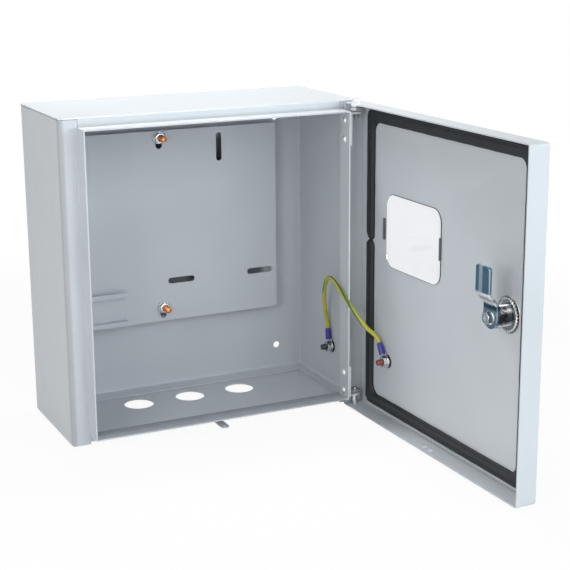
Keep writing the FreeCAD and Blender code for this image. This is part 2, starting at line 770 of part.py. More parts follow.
def make_wire(start, start_way, end, end_way):
    """Earthing wire from one sleeve to the other, as straight runs joined by tangent arcs."""
    lip_edge = V(open_half.value, -depth.value - lip.value, start.z)
    route = [start, start + start_way * wire_lead.value]
    for origin, steps in ((start, wire_from_start), (lip_edge, wire_from_lip), (end, wire_from_end)):
        route += [origin + V(*step) for step in steps]
    route += [end + end_way * wire_lead.value, end]
    runs = [(b - a).Length for a, b in zip(route, route[1:])]
    edges = []
    at = route[0]
    radii = []
    for i in range(1, len(route) - 1):
        before = (route[i] - route[i - 1]).normalize()
        after = (route[i + 1] - route[i]).normalize()
        half_turn = before.getAngle(after) / 2
        setback = 0.45 * min(runs[i - 1], runs[i])
        radii.append(setback / math.tan(half_turn))
        first = route[i] - before * setback
        last = route[i] + after * setback
        inward = (after - before).normalize()
        centre = route[i] + inward * (radii[-1] / math.cos(half_turn))
        middle = centre - inward * radii[-1]
        edges.append(Part.LineSegment(at, first).toShape())
        edges.append(Part.Arc(first, middle, last).toShape())
        at = last
    edges.append(Part.LineSegment(at, route[-1]).toShape())
    path = Part.Wire(edges)
    direction = (route[1] - route[0]).normalize()
    section = Part.Wire([Part.Circle(route[0], direction, wire.value / 2).toShape()])
    tube = path.makePipeShell([section], True, True)
    expected = math.pi * (wire.value / 2) ** 2 * path.Length
    print("wire length", round(path.Length, 1), "volume ratio", round(tube.Volume / expected, 4))
    print("wire points", [tuple(round(c, 1) for c in point) for point in route])
    print("wire radii", [round(r, 1) for r in radii], "runs", [round(r, 1) for r in runs])
    item = doc.addObject("Part::Feature", "wire_tube")
    item.Shape = tube
    item.Label = "earth_wire"
    parts.append(item)


# Hinge brackets and their rivets on the right-hand lip

bracket_x = open_half + metal                   # outer face of the lip
upper_top = lip_high - bracket_end
lower_foot = lip_low + bracket_foot
upper_foot = upper_top - bracket_length
lower_top = lower_foot + bracket_length
rivet_heights = [upper_top - rivet_end, upper_top - rivet_end - rivet_pitch,
                 lower_foot + rivet_low_end, lower_foot + rivet_low_end + rivet_pitch]


def make_bracket(name, foot, ear_foot):
    """Plate riveted to the lip, with an ear folded out over the hinge pin."""
    body = new_body(name)
    side = new_sketch(body, name + "_side", "YZ_Plane", bracket_x)
    draw_rectangle(side, -bracket_front, foot, -bracket_back, foot + bracket_length)
    pad(body, side, bracket_metal)
    plan = new_sketch(body, name + "_ear", "XY_Plane", ear_foot)
    start = bracket_x + bracket_metal
    draw_rectangle(plan, start, -hinge_y - ear_radius, hinge_x, -hinge_y + ear_radius)
    pad(body, plan, ear_metal)
    tip = new_sketch(body, name + "_tip", "XY_Plane", ear_foot)
    draw_circle(tip, hinge_x, -hinge_y, ear_radius)
    pad(body, tip, ear_metal)
    eye = new_sketch(body, name + "_eye", "XY_Plane", ear_foot)
    draw_circle(eye, hinge_x, -hinge_y, pin_radius + pin_play)
    pocket(body, eye, ear_metal, back=True)
    rivets = new_sketch(body, name + "_rivets", "YZ_Plane", bracket_x)
    for z in rivet_heights:
        if foot.value < z.value < foot.value + bracket_length.value:
            draw_circle(rivets, -rivet_y, z, rivet / 2 + fit_gap)
    pocket(body, rivets, bracket_metal, back=True)
    finish(body, name)


def make_rivets():
    """Four blind rivets: domed head inside the opening, shank and formed tail outside."""
    rivets = []
    grip = metal + bracket_metal
    for i, z in enumerate(rivet_heights):
        head = doc.addObject("Part::Cone", f"rivet_head_{i}")
        bind(head, "Radius1", rivet_head / 2 * 0.6)
        bind(head, "Radius2", rivet_head / 2)
        bind(head, "Height", rivet_dome)
        put(head, open_half - rivet_dome, -rivet_y, z, "x")
        shank = cylinder(f"rivet_shank_{i}", rivet / 2, grip + fit_gap, open_half, -rivet_y, z, "x")
        tail = cylinder(f"rivet_tail_{i}", rivet / 2 * 1.4, rivet_tail, open_half + grip,
                        -rivet_y, z, "x")
        rivets.append(fused(f"rivet_{i}", [head, shank, tail]))
    finish(group("rivets", rivets), "bracket_rivets")


# Door with its gasket and window

def make_door():
    """Tray of folded sheet: skin, four flanges and the openings for window, lock and hinge."""
    body = new_body("door")
    outline = new_sketch(body, "door_outline", "XZ_Plane", door_gap + door_depth)
    draw_rectangle(outline, -door_half, door_low, door_half, door_high)
    pad(body, outline, door_depth, back=True)
    bend_places = [(-door_half, skin), (door_half, skin)]
    fillet(body, "door_side_bends", edge_bend, Z_AXIS, bend_places)
    fillet(body, "door_end_bends", edge_bend, X_AXIS, [(skin, door_low), (skin, door_high)])
    inside = new_sketch(body, "door_inside", "XZ_Plane", door_gap + door_depth - metal)
    draw_rectangle(inside, -door_half + metal, door_low + metal, door_half - metal, door_high - metal)
    pocket(body, inside, door_depth)

    window = new_sketch(body, "window_opening", "XZ_Plane", door_gap + door_depth)
    half_w, half_h = window_width / 2, window_height / 2
    draw_rectangle(window, window_x - half_w, window_z - half_h, window_x + half_w, window_z + half_h)
    draw_circle(window, lock_x, lock_z, lock_barrel / 2 + fit_gap)
    pocket(body, window, metal)
    corners = [(window_x + half_w * sx, window_z + half_h * sz) for sx in (-1, 1) for sz in (-1, 1)]
    fillet(body, "window_corners", window_corner, Y_AXIS, corners)

    for name, foot in (("low", door_low), ("high", door_high - metal)):
        holes = new_sketch(body, f"flange_holes_{name}", "XY_Plane", foot)
        draw_circle(holes, hinge_x, -hinge_y, pin_radius + fit_gap)
        if name == "low":
            for s in (-1, 1):
                draw_circle(holes, seal_pitch / 2 * s, -seal_y, seal_hole / 2)
        pocket(body, holes, metal, back=True)

    notches = new_sketch(body, "rim_notches", "YZ_Plane", door_half - metal)
    for foot, top in ((upper_foot, upper_top), (lower_foot, lower_top)):
        draw_rectangle(notches, -door_gap - notch_depth, foot - bracket_metal,
                       -door_gap + metal, top + bracket_metal)
    pocket(body, notches, metal, back=True)
    finish(body, "door_shell", True)


def make_gasket():
    """Foamed gasket on the inside of the door, a round-cornered ring that meets the lip."""
    body = new_body("gasket")
    for name, grow, deep in (("outer", gasket_width / 2, False), ("inner", -gasket_width / 2, True)):
        loop = new_sketch(body, f"gasket_{name}", "XZ_Plane", -skin_in)
        x, z = gasket_half_x + grow, gasket_half_z + grow
        draw_rectangle(loop, -x, mid_z - z, x, mid_z + z)
        if deep:
            pocket(body, loop, gasket_height)
        else:
            pad(body, loop, gasket_height, back=True)
        places = [(x * sx, mid_z + z * sz) for sx in (-1, 1) for sz in (-1, 1)]
        fillet(body, f"gasket_{name}_corners", gasket_corner + grow, Y_AXIS, places)
    groove = new_sketch(body, "gasket_groove", "XZ_Plane", -skin_in - gasket_height)
    reach = metal + seal_gap * 2
    draw_rectangle(groove, -open_half - reach, open_low - reach, open_half + reach, open_high + reach)
    reach = -seal_gap * 2
    draw_rectangle(groove, -open_half - reach, open_low - reach, open_half + reach, open_high + reach)
    pocket(body, groove, groove_depth, back=True)
    finish(body, "door_gasket", True)


def make_window():
    """Clear window pushed in from the front: rim outside, plug in the opening, two catches."""
    body = new_body("window")
    half_w, half_h = window_width / 2, window_height / 2
    plug = new_sketch(body, "window_plug", "XZ_Plane", -skin)
    x, z = half_w - window_play, half_h - window_play
    draw_rectangle(plug, window_x - x, window_z - z, window_x + x, window_z + z)
    pad(body, plug, pane_depth, back=True)
    places = [(window_x + x * sx, window_z + z * sz) for sx in (-1, 1) for sz in (-1, 1)]
    fillet(body, "window_plug_corners", window_corner - window_play, Y_AXIS, places)
    rim = new_sketch(body, "window_rim_plan", "XZ_Plane", -skin)
    x, z = half_w + window_rim, half_h + window_rim
    draw_rectangle(rim, window_x - x, window_z - z, window_x + x, window_z + z)
    pad(body, rim, pane_metal)
    places = [(window_x + x * sx, window_z + z * sz) for sx in (-1, 1) for sz in (-1, 1)]
    fillet(body, "window_rim_corners", window_corner + window_rim, Y_AXIS, places)
    catches = new_sketch(body, "window_catches", "XZ_Plane", -skin_in)
    half_catch = catch_length / 2
    for s in (-1, 1):
        edge = window_x + half_w * s
        x0, x1 = sorted((edge - catch_reach * s, edge + catch_reach * s), key=value_of)
        draw_rectangle(catches, x0, window_z - half_catch, x1, window_z + half_catch)
    pad(body, catches, catch_height, back=True)
    finish(body, "window_pane", True)


def make_hinge_pins():
    """Bolts through the door's end flanges that turn in the ears of the brackets."""
    top_in = door_high - metal
    shank = pin_radius
    upper = fused("pin_upper", [
        hexagon("pin_upper_head", hinge_head_flats, hinge_head, hinge_x, -hinge_y, door_high, "z flats"),
        cylinder("pin_upper_shank", shank, door_high - upper_ear + pin_tail,
                 hinge_x, -hinge_y, upper_ear - pin_tail)])
    finish(upper, "upper_hinge_bolt", True)
    lower_length = lower_ear + ear_metal * 2 + hinge_nut - door_low
    lower = fused("pin_lower", [
        hexagon("pin_lower_head", hinge_head_flats, hinge_head, hinge_x, -hinge_y,
                door_low - hinge_head, "z flats"),
        cylinder("pin_lower_shank", shank, lower_length, hinge_x, -hinge_y, door_low)])
    finish(lower, "lower_hinge_bolt", True)
    bore = pin_radius * 2 + fit_gap * 2
    nuts = [
        hex_nut("hinge_nut_a", hinge_flats, bore, hinge_nut, hinge_x, -hinge_y,
                top_in - hinge_nut, "z flats"),
        hex_nut("hinge_nut_b", hinge_flats, bore, hinge_nut, hinge_x, -hinge_y,
                top_in - hinge_nut * 2, "z flats"),
        hex_nut("hinge_nut_c", hinge_flats, bore, hinge_nut, hinge_x, -hinge_y,
                lower_ear + ear_metal + seal_gap, "z flats")]
    finish(group("hinge_nut_set", nuts), "hinge_nuts", True)


# Lock and latch

def make_lock():
    """Fixed lock barrel with its head, rubber seal outside and ring nut inside."""
    head_y = skin - lock_seal_height - lock_head_height
    head = cylinder("lock_head", lock_head / 2, lock_head_height / 2,
                    lock_x, head_y + lock_head_height / 2, lock_z, "y")
    brim = doc.addObject("Part::Cone", "lock_brim")
    bind(brim, "Radius1", lock_head / 2 - lock_head_height / 2)
    bind(brim, "Radius2", lock_head / 2)
    bind(brim, "Height", lock_head_height / 2)
    put(brim, lock_x, head_y, lock_z, "y")
    barrel_length_all = lock_head_height + lock_seal_height + metal + lock_reach
    barrel = cylinder("lock_tube", lock_barrel / 2, barrel_length_all, lock_x, head_y, lock_z, "y")
    bore = cylinder("lock_bore", plug_outer / 2 + plug_bore_play, barrel_length_all,
                    lock_x, head_y, lock_z, "y")
    housing = less("lock_case", fused("lock_case_solid", [brim, head, barrel]), bore)
    finish(housing, "lock_housing", True)
    bore_gap = lock_barrel + fit_gap * 2
    seal = ring("lock_gasket", lock_head - lock_seal_edge * 2, bore_gap, lock_seal_height,
                lock_x, skin - lock_seal_height, lock_z, "y")
    finish(seal, "lock_seal", True)
    nut = ring("lock_ring", ring_outer, bore_gap, ring_height, lock_x, skin_in, lock_z, "y")
    finish(nut, "lock_ring_nut", True)


def make_latch():
    """Turning plug with its cranked cam, washer and bolt, drawn with the cam upright."""
    front = skin - lock_seal_height - lock_head_height
    seat = skin_in + lock_reach + plug_step     # face of the plug that the cam sits on
    end = seat + cam_metal - fit_gap            # end of the square, just inside the cam
    core = cylinder("plug_core", plug_outer / 2, seat - front, lock_x, front, lock_z, "y")
    square = box("plug_tail", plug_square, end - seat, plug_square,
                 lock_x - plug_square / 2, seat, lock_z - plug_square / 2)
    keyway = box("plug_keyway", key_width, key_depth, key_height,
                 lock_x - key_width / 2, front, lock_z - key_height / 2)
    shank_y = end - bolt_length
    thread_room = cylinder("plug_thread", thread / 2 + fit_gap, bolt_length + fit_gap,
                           lock_x, shank_y - fit_gap, lock_z, "y")
    plug = less("plug", fused("plug_solid", [core, square]),
                fused("plug_rooms", [keyway, thread_room]))
    finish(plug, "lock_plug", True)

    body = new_body("cam")
    rise = seat + cam_crank
    side = new_sketch(body, "cam_side", "YZ_Plane", lock_x)
    draw_outline(side, [
        (seat, lock_z - cam_back), (seat + cam_metal, lock_z - cam_back),
        (seat + cam_metal, lock_z + crank_start - cam_metal / 2),
        (rise + cam_metal, lock_z + crank_end - cam_metal / 2),
        (rise + cam_metal, lock_z + cam_reach), (rise, lock_z + cam_reach),
        (rise, lock_z + crank_end + cam_metal / 2),
        (seat, lock_z + crank_start + cam_metal / 2)])
    pad(body, side, cam_width, both=True)
    tongue_places = [(lock_x + cam_width / 2 * s, lock_z + cam_reach) for s in (-1, 1)]
    fillet(body, "cam_tongue", cam_width * 0.16, Y_AXIS, tongue_places)
    foot_places = [(lock_x + cam_width / 2 * s, lock_z - cam_back) for s in (-1, 1)]
    fillet(body, "cam_foot", cam_width * 0.4, Y_AXIS, foot_places)
    hole = new_sketch(body, "cam_square", "XZ_Plane", -seat)
    half = plug_square / 2 + fit_gap
    draw_rectangle(hole, lock_x - half, lock_z - half, lock_x + half, lock_z + half)
    pocket(body, hole, cam_metal)
    finish(body, "latch_cam", True)

    top = seat + cam_metal
    washer = ring("cam_disc", washer_outer, thread + fit_gap * 2, washer_metal, lock_x, top, lock_z, "y")
    finish(washer, "cam_washer", True)
    bolt = fused("cam_screw", [
        hexagon("cam_screw_head", bolt_flats, bolt_head, lock_x, top + washer_metal, lock_z, "y"),
        cylinder("cam_screw_shank", thread / 2, top + washer_metal - shank_y,
                 lock_x, shank_y, lock_z, "y")])
    finish(bolt, "cam_bolt", True)


# The ears that carry the hinge: the upper one under the door's lid flange, the lower one
# over its bottom flange, each at the outer end of its bracket

upper_ear = upper_top - ear_metal               # underside of the upper ear
lower_ear = lower_foot                          # underside of the lower ear

# Points of the wire between its two sleeves: some measured from the end of the cabinet's
# sleeve, some from the lip's front edge level with it, one from the end of the door's sleeve
wire_from_start = [(-4.6, -2.0, 20.5), (-8.1, -7.0, 36.2), (-11.7, -15.5, 51.5),
                   (-14.8, -29.5, 64.3)]
wire_from_lip = [(-3.3, 24.8, 63.0), (-2.9, 9.8, 54.8), (-1.5, -5.7, 44.8), (2.4, -16.2, 34.5)]
wire_from_end = [(-9.9, 7.6, 14.5)]

make_shell()
make_lid()
make_floor()
make_seal_lug()
make_panel()
make_rail()
make_panel_fixings()

wall_point = V((half_width - metal).value, earth_y.value, earth_z.value)
wire_start, start_way = make_earth_point(
    "cabinet", terminal_frame(wall_point, (-1, 0, 0), -terminal_tilt.value), False)
door_point = V(door_earth_x.value, skin_in.value, door_earth_z.value)
wire_end, end_way = make_earth_point(
    "door", terminal_frame(door_point, (0, 1, 0), -door_terminal_tilt.value), True)
make_wire(wire_start, start_way, wire_end, end_way)

make_bracket("upper_hinge_bracket", upper_foot, upper_ear)
make_bracket("lower_hinge_bracket", lower_foot, lower_ear)
make_rivets()
make_door()
make_gasket()
make_window()
make_hinge_pins()
make_lock()
make_latch()

doc.recompute()

# Every object must have been built before anything is written

for item in doc.Objects:
    if "Invalid" in item.State or "Error" in item.State:
        raise RuntimeError(f"{item.Label} failed: {item.State}")
os.makedirs("parts", exist_ok=True)
for item in parts:
    shape = item.Shape
    if shape.isNull() or not shape.isValid():
        raise RuntimeError(f"{item.Label} has no valid shape")
    shape.exportStep(f"parts/{item.Label}.step")
    print(item.Label, "solids", len(shape.Solids), "volume", round(shape.Volume, 1))
print("sub-parts", len(parts))
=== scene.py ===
# %% [markdown]
# # A sheet steel wall cabinet with its door open
#
# The solids come packed and already in place. This notebook dresses them: it sets up a camera
# and soft light, makes the finishes, and makes finer versions of the small pieces, such as
# threads, chamfered nuts, the earthing wire and the foam gasket.

import math

import bmesh
import bpy
import numpy as np
from mathutils import Matrix, Vector


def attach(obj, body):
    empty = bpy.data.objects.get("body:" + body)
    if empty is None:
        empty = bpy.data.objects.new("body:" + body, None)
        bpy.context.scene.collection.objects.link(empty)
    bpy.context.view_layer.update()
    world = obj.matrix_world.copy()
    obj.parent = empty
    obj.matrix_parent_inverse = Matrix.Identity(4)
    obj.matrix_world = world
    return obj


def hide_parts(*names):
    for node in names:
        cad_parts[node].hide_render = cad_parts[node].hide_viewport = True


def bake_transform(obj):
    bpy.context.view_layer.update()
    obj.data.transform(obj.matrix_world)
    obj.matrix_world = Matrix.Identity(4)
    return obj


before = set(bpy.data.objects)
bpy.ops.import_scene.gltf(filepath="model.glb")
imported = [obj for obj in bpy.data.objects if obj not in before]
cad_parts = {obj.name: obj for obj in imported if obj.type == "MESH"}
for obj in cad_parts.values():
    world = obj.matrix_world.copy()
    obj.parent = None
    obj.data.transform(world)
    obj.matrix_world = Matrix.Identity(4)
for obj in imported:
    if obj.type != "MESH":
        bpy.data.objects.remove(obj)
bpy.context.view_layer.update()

# %% [markdown]
# Two sets of coordinates are used. The shut cabinet is the easier one to think in: millimetres,
# x to the right, y towards the wall from the front face of the flanges, z up from the floor
# plate. Blender needs metres from the middle of the wall holes. Pieces of the door are also
# turned about the hinge, because the cabinet is shown open.

# %% From the shut cabinet's millimetres to Blender's metres
MM = 0.001
BODY_DEPTH = 125.0
BODY_HEIGHT = 310.0
PIN = np.array([143.3, -13.4, 0.0])
OPEN = math.radians(91.0)
TURN = np.array([[math.cos(OPEN), -math.sin(OPEN), 0.0],
                 [math.sin(OPEN), math.cos(OPEN), 0.0],
                 [0.0, 0.0, 1.0]])


def in_cabinet(points):
    """Shut millimetres to metres: subtract the middle of the wall holes, times a thousandth."""
    return (np.asarray(points, float) - [0.0, BODY_DEPTH, BODY_HEIGHT / 2]) * MM


def on_door(points):
    """The same after turning by 91 degrees about the hinge: pin + turn times (point - pin)."""
    return in_cabinet(PIN + (np.asarray(points, float) - PIN) @ TURN.T)


print("pin in metres:", np.round(in_cabinet(PIN), 4))

# %% New objects


def add_object(name, data):
    """An object for some data, at the origin, in the scene."""
    thing = bpy.data.objects.new(name, data)
    bpy.context.scene.collection.objects.link(thing)
    return thing

# %% [markdown]
# The camera stands in front, to the left and a little above, far away with a long lens, so
# that upright edges stay nearly parallel. Its matrix is built from the direction it looks in
# and the direction to its right.

# %% Camera
FOCAL_IN_WIDTHS = 1409.3 / 570.0
camera_place = np.array([-504.6, -1337.1, 327.4]) * MM
ahead = Vector((0.4156, 0.8737, -0.2528)).normalized()
right = Vector((0.9023, -0.4312, -0.0068))
right = (right - ahead * right.dot(ahead)).normalized()
up = right.cross(ahead)

camera_data = bpy.data.cameras.new("camera")
camera_data.sensor_width = 36.0
camera_data.lens = FOCAL_IN_WIDTHS * camera_data.sensor_width
camera = add_object("camera", camera_data)
camera.matrix_world = Matrix((
    (right.x, up.x, -ahead.x, camera_place[0]),
    (right.y, up.y, -ahead.y, camera_place[1]),
    (right.z, up.z, -ahead.z, camera_place[2]),
    (0.0, 0.0, 0.0, 1.0)))
bpy.context.scene.camera = camera
print("lens in mm:", round(camera_data.lens, 1))

# %% [markdown]
# Most pieces are surfaces on a grid: an array of rows of points. One helper joins neighbours
# into four-sided faces with whole-array index sums, can close the grid either way round, and
# can put a lid on its first and last row.

# %% Grid of points to mesh


def grid_faces(rows, columns, close_rows, close_columns):
    """Quads of a grid: point (i, j) is joined to (i, j+1), (i+1, j+1) and (i+1, j)."""
    i = np.arange(rows if close_rows else rows - 1)[:, None]
    j = np.arange(columns if close_columns else columns - 1)[None, :]
    here = i * columns + j
    beside = i * columns + (j + 1) % columns
    above = ((i + 1) % rows) * columns + j
    across = ((i + 1) % rows) * columns + (j + 1) % columns
    return np.stack([here, beside, across, above], axis=-1).reshape(-1, 4).tolist()


def clean_mesh(mesh, fill=False):
    """Merge points that coincide, close open ends if asked, and turn all faces outwards."""
    shape = bmesh.new()
    shape.from_mesh(mesh)
    bmesh.ops.remove_doubles(shape, verts=shape.verts, dist=1e-7)
    if fill:
        bmesh.ops.holes_fill(shape, edges=[e for e in shape.edges if e.is_boundary])
    bmesh.ops.recalc_face_normals(shape, faces=shape.faces)
    shape.to_mesh(mesh)
    shape.free()
    mesh.shade_smooth()


def read_points(mesh):
    """Places of a mesh's vertices, one row each."""
    places = np.empty(len(mesh.vertices) * 3)
    mesh.vertices.foreach_get("co", places)
    return places.reshape(-1, 3)


def make_object(name, points, faces, sharp=35.0):
    """A mesh object at the origin with outward faces, smooth but for edges over `sharp`."""
    mesh = bpy.data.meshes.new(name)
    mesh.from_pydata(np.asarray(points, float).reshape(-1, 3).tolist(), [], faces)
    clean_mesh(mesh)
    mesh.set_sharp_from_angle(angle=math.radians(sharp))
    return add_object(name, mesh)


def distance_along(line):
    """Length of a line of points up to each of them."""
    return np.concatenate([[0.0], np.cumsum(np.linalg.norm(np.diff(line, axis=0), axis=1))])


def surface(points, close_rows=False, close_columns=True, lids=True):
    """Points and faces of one grid, with a lid on its first and last row when it is open."""
    rows, columns = points.shape[:2]
    faces = grid_faces(rows, columns, close_rows, close_columns)
    if lids and not close_rows:
        faces.append(list(range(columns))[::-1])
        faces.append([(rows - 1) * columns + k for k in range(columns)])
    return points.reshape(-1, 3), faces


def together(*surfaces):
    """Several sets of points and faces as one set."""
    points, faces, start = [], [], 0
    for some_points, some_faces in surfaces:
        points.append(some_points)
        faces += [[start + k for k in face] for face in some_faces]
        start += len(some_points)
    return np.concatenate(points), faces

# %% [markdown]
# Screws, nuts and washers are round about an axis. They are worked out about z, from zero up,
# and then laid along the axis they need. `along` gives that axis by its start, its direction
# and the direction of its own x.

# %% Laying a shape along an axis


def along(points, start, direction, across=(0.0, 0.0, 1.0)):
    """Local x, y, z to x*side + y*(direction cross side) + z*direction + start."""
    axis = np.asarray(direction, float)
    axis = axis / np.linalg.norm(axis)
    side = np.asarray(across, float)
    side = side - axis * (side @ axis)
    side = side / np.linalg.norm(side)
    basis = np.stack([side, np.cross(axis, side), axis])
    return np.asarray(points, float) @ basis + np.asarray(start, float)


def turns(sides):
    """Equal steps of angle round a circle."""
    return np.arange(sides) / sides * math.tau


def stacked_rings(rows, sides):
    """Points (r cos a, r sin a, h) for each (r, h); r is one number or one for each side."""
    angle = turns(sides)
    return np.stack([np.stack([r * np.cos(angle), r * np.sin(angle), np.full(sides, h)], -1)
                     for r, h in rows])


def lathe(profile, sides=48, closed=False):
    """The profile's points (r, h) carried round the axis; closed, its end meets its start."""
    return surface(stacked_rings(profile, sides), close_rows=closed)


def washer(inner, outer, height, edge):
    """Flat ring with its four edges broken by a small chamfer."""
    return lathe([(inner, edge), (inner + edge, 0), (outer - edge, 0), (outer, edge),
                  (outer, height - edge), (outer - edge, height), (inner + edge, height),
                  (inner, height - edge)], closed=True)


def helix(radius, length, pitch, depth, rows, sides, flank, chamfer):
    """Radii of a thread, and the height of each row: radius - depth*wave, inside an end cone.

    The wave is |2 frac(h/pitch - a/turn) - 1| times the first of `flank`, less the second, cut
    to 0..1, which leaves flat crests and roots.
    """
    height = np.linspace(0.0, length, rows)
    turn = np.arange(sides) / sides
    wave = np.abs(2.0 * ((height[:, None] / pitch - turn) % 1.0) - 1.0)
    r = radius - depth * np.clip(flank[0] * wave - flank[1], 0.0, 1.0)
    return np.minimum(r, radius - chamfer + (length - height[:, None])), height


def thread(radius, length, pitch=1.0, depth=0.55, sides=36):
    """Threaded rod."""
    rows = int(length / pitch * 8) + 1
    r, height = helix(radius, length, pitch, depth, rows, sides, (1.25, 0.12), 0.8)
    return lathe(zip(r, height), sides)


def flat_at(half, wave):
    """Radius of a flat: half a width over |cos a| or |sin a|, large where that is zero."""
    return half / np.maximum(np.abs(wave), 1e-6)


def hexagon(flats, height, hole=0.0, both=True, sides=72, chamfer=0.35):
    """Hexagon cut by cones: r = min(flats/2 / cos(a folded to 60 degrees), cone at that height).

    With a hole it is a nut, closed through its bore; without one it is a bolt's head.
    """
    half = flats / 2.0
    steps = np.array([0.0, 0.12, 0.25, 0.45, 0.7, 1.0]) * (0.27 * half)
    low = steps if both else np.array([0.0])
    heights = np.concatenate([low, height - steps[::-1]])
    angle = turns(sides)
    folded = (angle + math.pi / 6) % (math.pi / 3) - math.pi / 6
    flat = half / np.cos(folded)[None, :]
    to_end = height - heights
    if both:
        to_end = np.minimum(to_end, heights)
    cone = half * 0.955 + to_end[:, None] * 1.73
    rows = list(zip(np.minimum(flat, cone), heights))
    if hole:
        wide = hole + chamfer
        rows = [(hole, chamfer), (wide, 0.0)] + rows + [(wide, height), (hole, height - chamfer)]
    return lathe(rows, sides, bool(hole))

# %% Naming and dressing a piece


def wear(piece, finish):
    """Give a piece, or a solid that stays, one material."""
    piece.data.materials.clear()
    piece.data.materials.append(finish.material)


def dress(piece, body, slot, finish, replaced=()):
    """Say what a piece rides on, which solids it replaces and what it wears; the slot argument is
    not used.
    """
    if replaced:
        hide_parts(*replaced)
    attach(piece, body)
    wear(piece, finish)
    print(piece.name, "faces:", len(piece.data.polygons))
    return piece


def piece_along(name, parts, body, slot, finish, replaced, place=in_cabinet, sharp=35.0):
    """Put several (shape, (start, direction, across)) together as one piece on one body."""
    laid = [(along(points, *where), faces) for (points, faces), where in parts]
    points, faces = together(*laid)
    return dress(make_object(name, place(points), faces, sharp), body, slot, finish, replaced)

# %% [markdown]
# The earthing wire comes first of the pieces, because its shape is a curve of its own. It
# leaves the cabinet's blue sleeve, rises in an arch, passes in front of the lip and ends in
# the door's sleeve. The points are those of the solid's route. A smooth NURBS curve runs
# between them, its line is read back, and a round tube is carried along it.

# %% Line of the earthing wire
WIRE_RADIUS = 2.1
wire_route = np.array([
    (145.1, -75.5, -90.0), (145.1, -74.7, -83.0), (140.5, -77.5, -69.5), (137.0, -82.5, -53.8),
    (133.4, -91.0, -38.5), (130.3, -105.0, -25.7), (128.9, -120.5, -27.0), (129.3, -135.5, -35.2),
    (130.7, -151.0, -45.2), (134.6, -161.5, -55.5), (140.7, -167.5, -65.8), (150.6, -171.2, -74.4),
    (150.6, -175.1, -80.3)]) * MM

curve = bpy.data.curves.new("wire_line", "CURVE")
curve.dimensions = "3D"
spline = curve.splines.new("NURBS")
spline.points.add(len(wire_route) - 1)
spline.points.foreach_set("co", np.c_[wire_route, np.ones(len(wire_route))].ravel())
spline.order_u = 3
spline.use_endpoint_u = True
spline.resolution_u = 10
holder = add_object("wire_line", curve)
bpy.context.view_layer.update()
line_mesh = bpy.data.meshes.new_from_object(holder)
wire_line = read_points(line_mesh)
bpy.data.objects.remove(holder)
bpy.data.meshes.remove(line_mesh)
wire_length = float(distance_along(wire_line)[-1])
print("wire length in mm:", round(wire_length / MM, 1), "points:", len(wire_line))

# %% Tube along the wire, with a place round it and along it in its UV map


def carry_frames(line):
    """Tangent at each point, and a side direction carried along without twisting."""
    tangent = np.gradient(line, axis=0)
    tangent /= np.linalg.norm(tangent, axis=1, keepdims=True)
    side = np.cross(tangent[0], [0.0, 0.0, 1.0] if abs(tangent[0][2]) < 0.9 else [0.0, 1.0, 0.0])
    sides = []
    for direction in tangent:
        side = side - direction * (side @ direction)
        side = side / np.linalg.norm(side)
        sides.append(side)
    return tangent, np.array(sides)


def tube(name, line, radius, around=28):
    """Round tube: centre + radius*(cos a side + sin a (tangent cross side))."""
    tangent, side = carry_frames(line)
    other = np.cross(tangent, side)
    angle = np.arange(around + 1) / around * math.tau
    points = (line[:, None, :] + radius * (np.cos(angle)[None, :, None] * side[:, None, :]
                                           + np.sin(angle)[None, :, None] * other[:, None, :]))
    rows, columns = points.shape[:2]
    faces = grid_faces(rows, columns, False, False)
    mesh = bpy.data.meshes.new(name)
    mesh.from_pydata(points.reshape(-1, 3).tolist(), [], faces)
    place = np.stack(np.broadcast_arrays((np.arange(columns) / around)[None, :],
                                         distance_along(line)[:, None]), -1).reshape(-1, 2)
    corners = np.empty(len(mesh.loops), int)
    mesh.loops.foreach_get("vertex_index", corners)
    layer = mesh.uv_layers.new(name="along")
    layer.data.foreach_set("uv", place[corners].ravel())
    clean_mesh(mesh, fill=True)
    return add_object(name, mesh)


earth_wire = tube("earthing_wire", wire_line, WIRE_RADIUS * MM)
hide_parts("earth_wire")
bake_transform(earth_wire)

# %% [markdown]
# Shader maths is easier to read as arithmetic. `Value` wraps an output of a node, and `Tree`
# has one method that makes any other node. `Finish` is a material's tree: numbers that do not
# change over the surface are set on the shader itself.

# %% Arithmetic on shader values


class Value:
    """An output of a shader node that takes part in sums."""

    def __init__(self, owner, socket):
        self.owner = owner
        self.socket = socket

    def math(self, operation, other):
        return self.owner.node("ShaderNodeMath", {"operation": operation}, {0: self, 1: other})

    def __add__(self, other):
        return self.math("ADD", other)

    def __sub__(self, other):
        return self.math("SUBTRACT", other)

    def __mul__(self, other):
        return self.math("MULTIPLY", other)


class Tree:
    """Nodes of a material or of the world, emptied first."""

    def __init__(self, owner):
        owner.use_nodes = True
        self.tree = owner.node_tree
        self.tree.nodes.clear()

    def node(self, kind, settings, inputs, output=0):
        """Make a node: its settings first, then the values or links of its sockets."""
        node = self.tree.nodes.new(kind)
        for name, value in settings.items():
            setattr(node, name, value)
        for name, value in inputs.items():
            self.feed(node.inputs[name], value)
        return Value(self, node.outputs[output] if node.outputs else None)

    def feed(self, socket, value):
        if isinstance(value, Value):
            self.tree.links.new(value.socket, socket)
        else:
            socket.default_value = value

    def seen(self):
        """One where the camera, a mirror or a clear pane looks, nothing for other light."""
        rays = self.tree.nodes.new("ShaderNodeLightPath")
        camera_ray, glossy_ray, clear_ray = (
            Value(self, rays.outputs[kind])
            for kind in ("Is Camera Ray", "Is Glossy Ray", "Is Transmission Ray"))
        return self.node("ShaderNodeClamp", {}, {0: camera_ray + glossy_ray + clear_ray})

# %% Materials


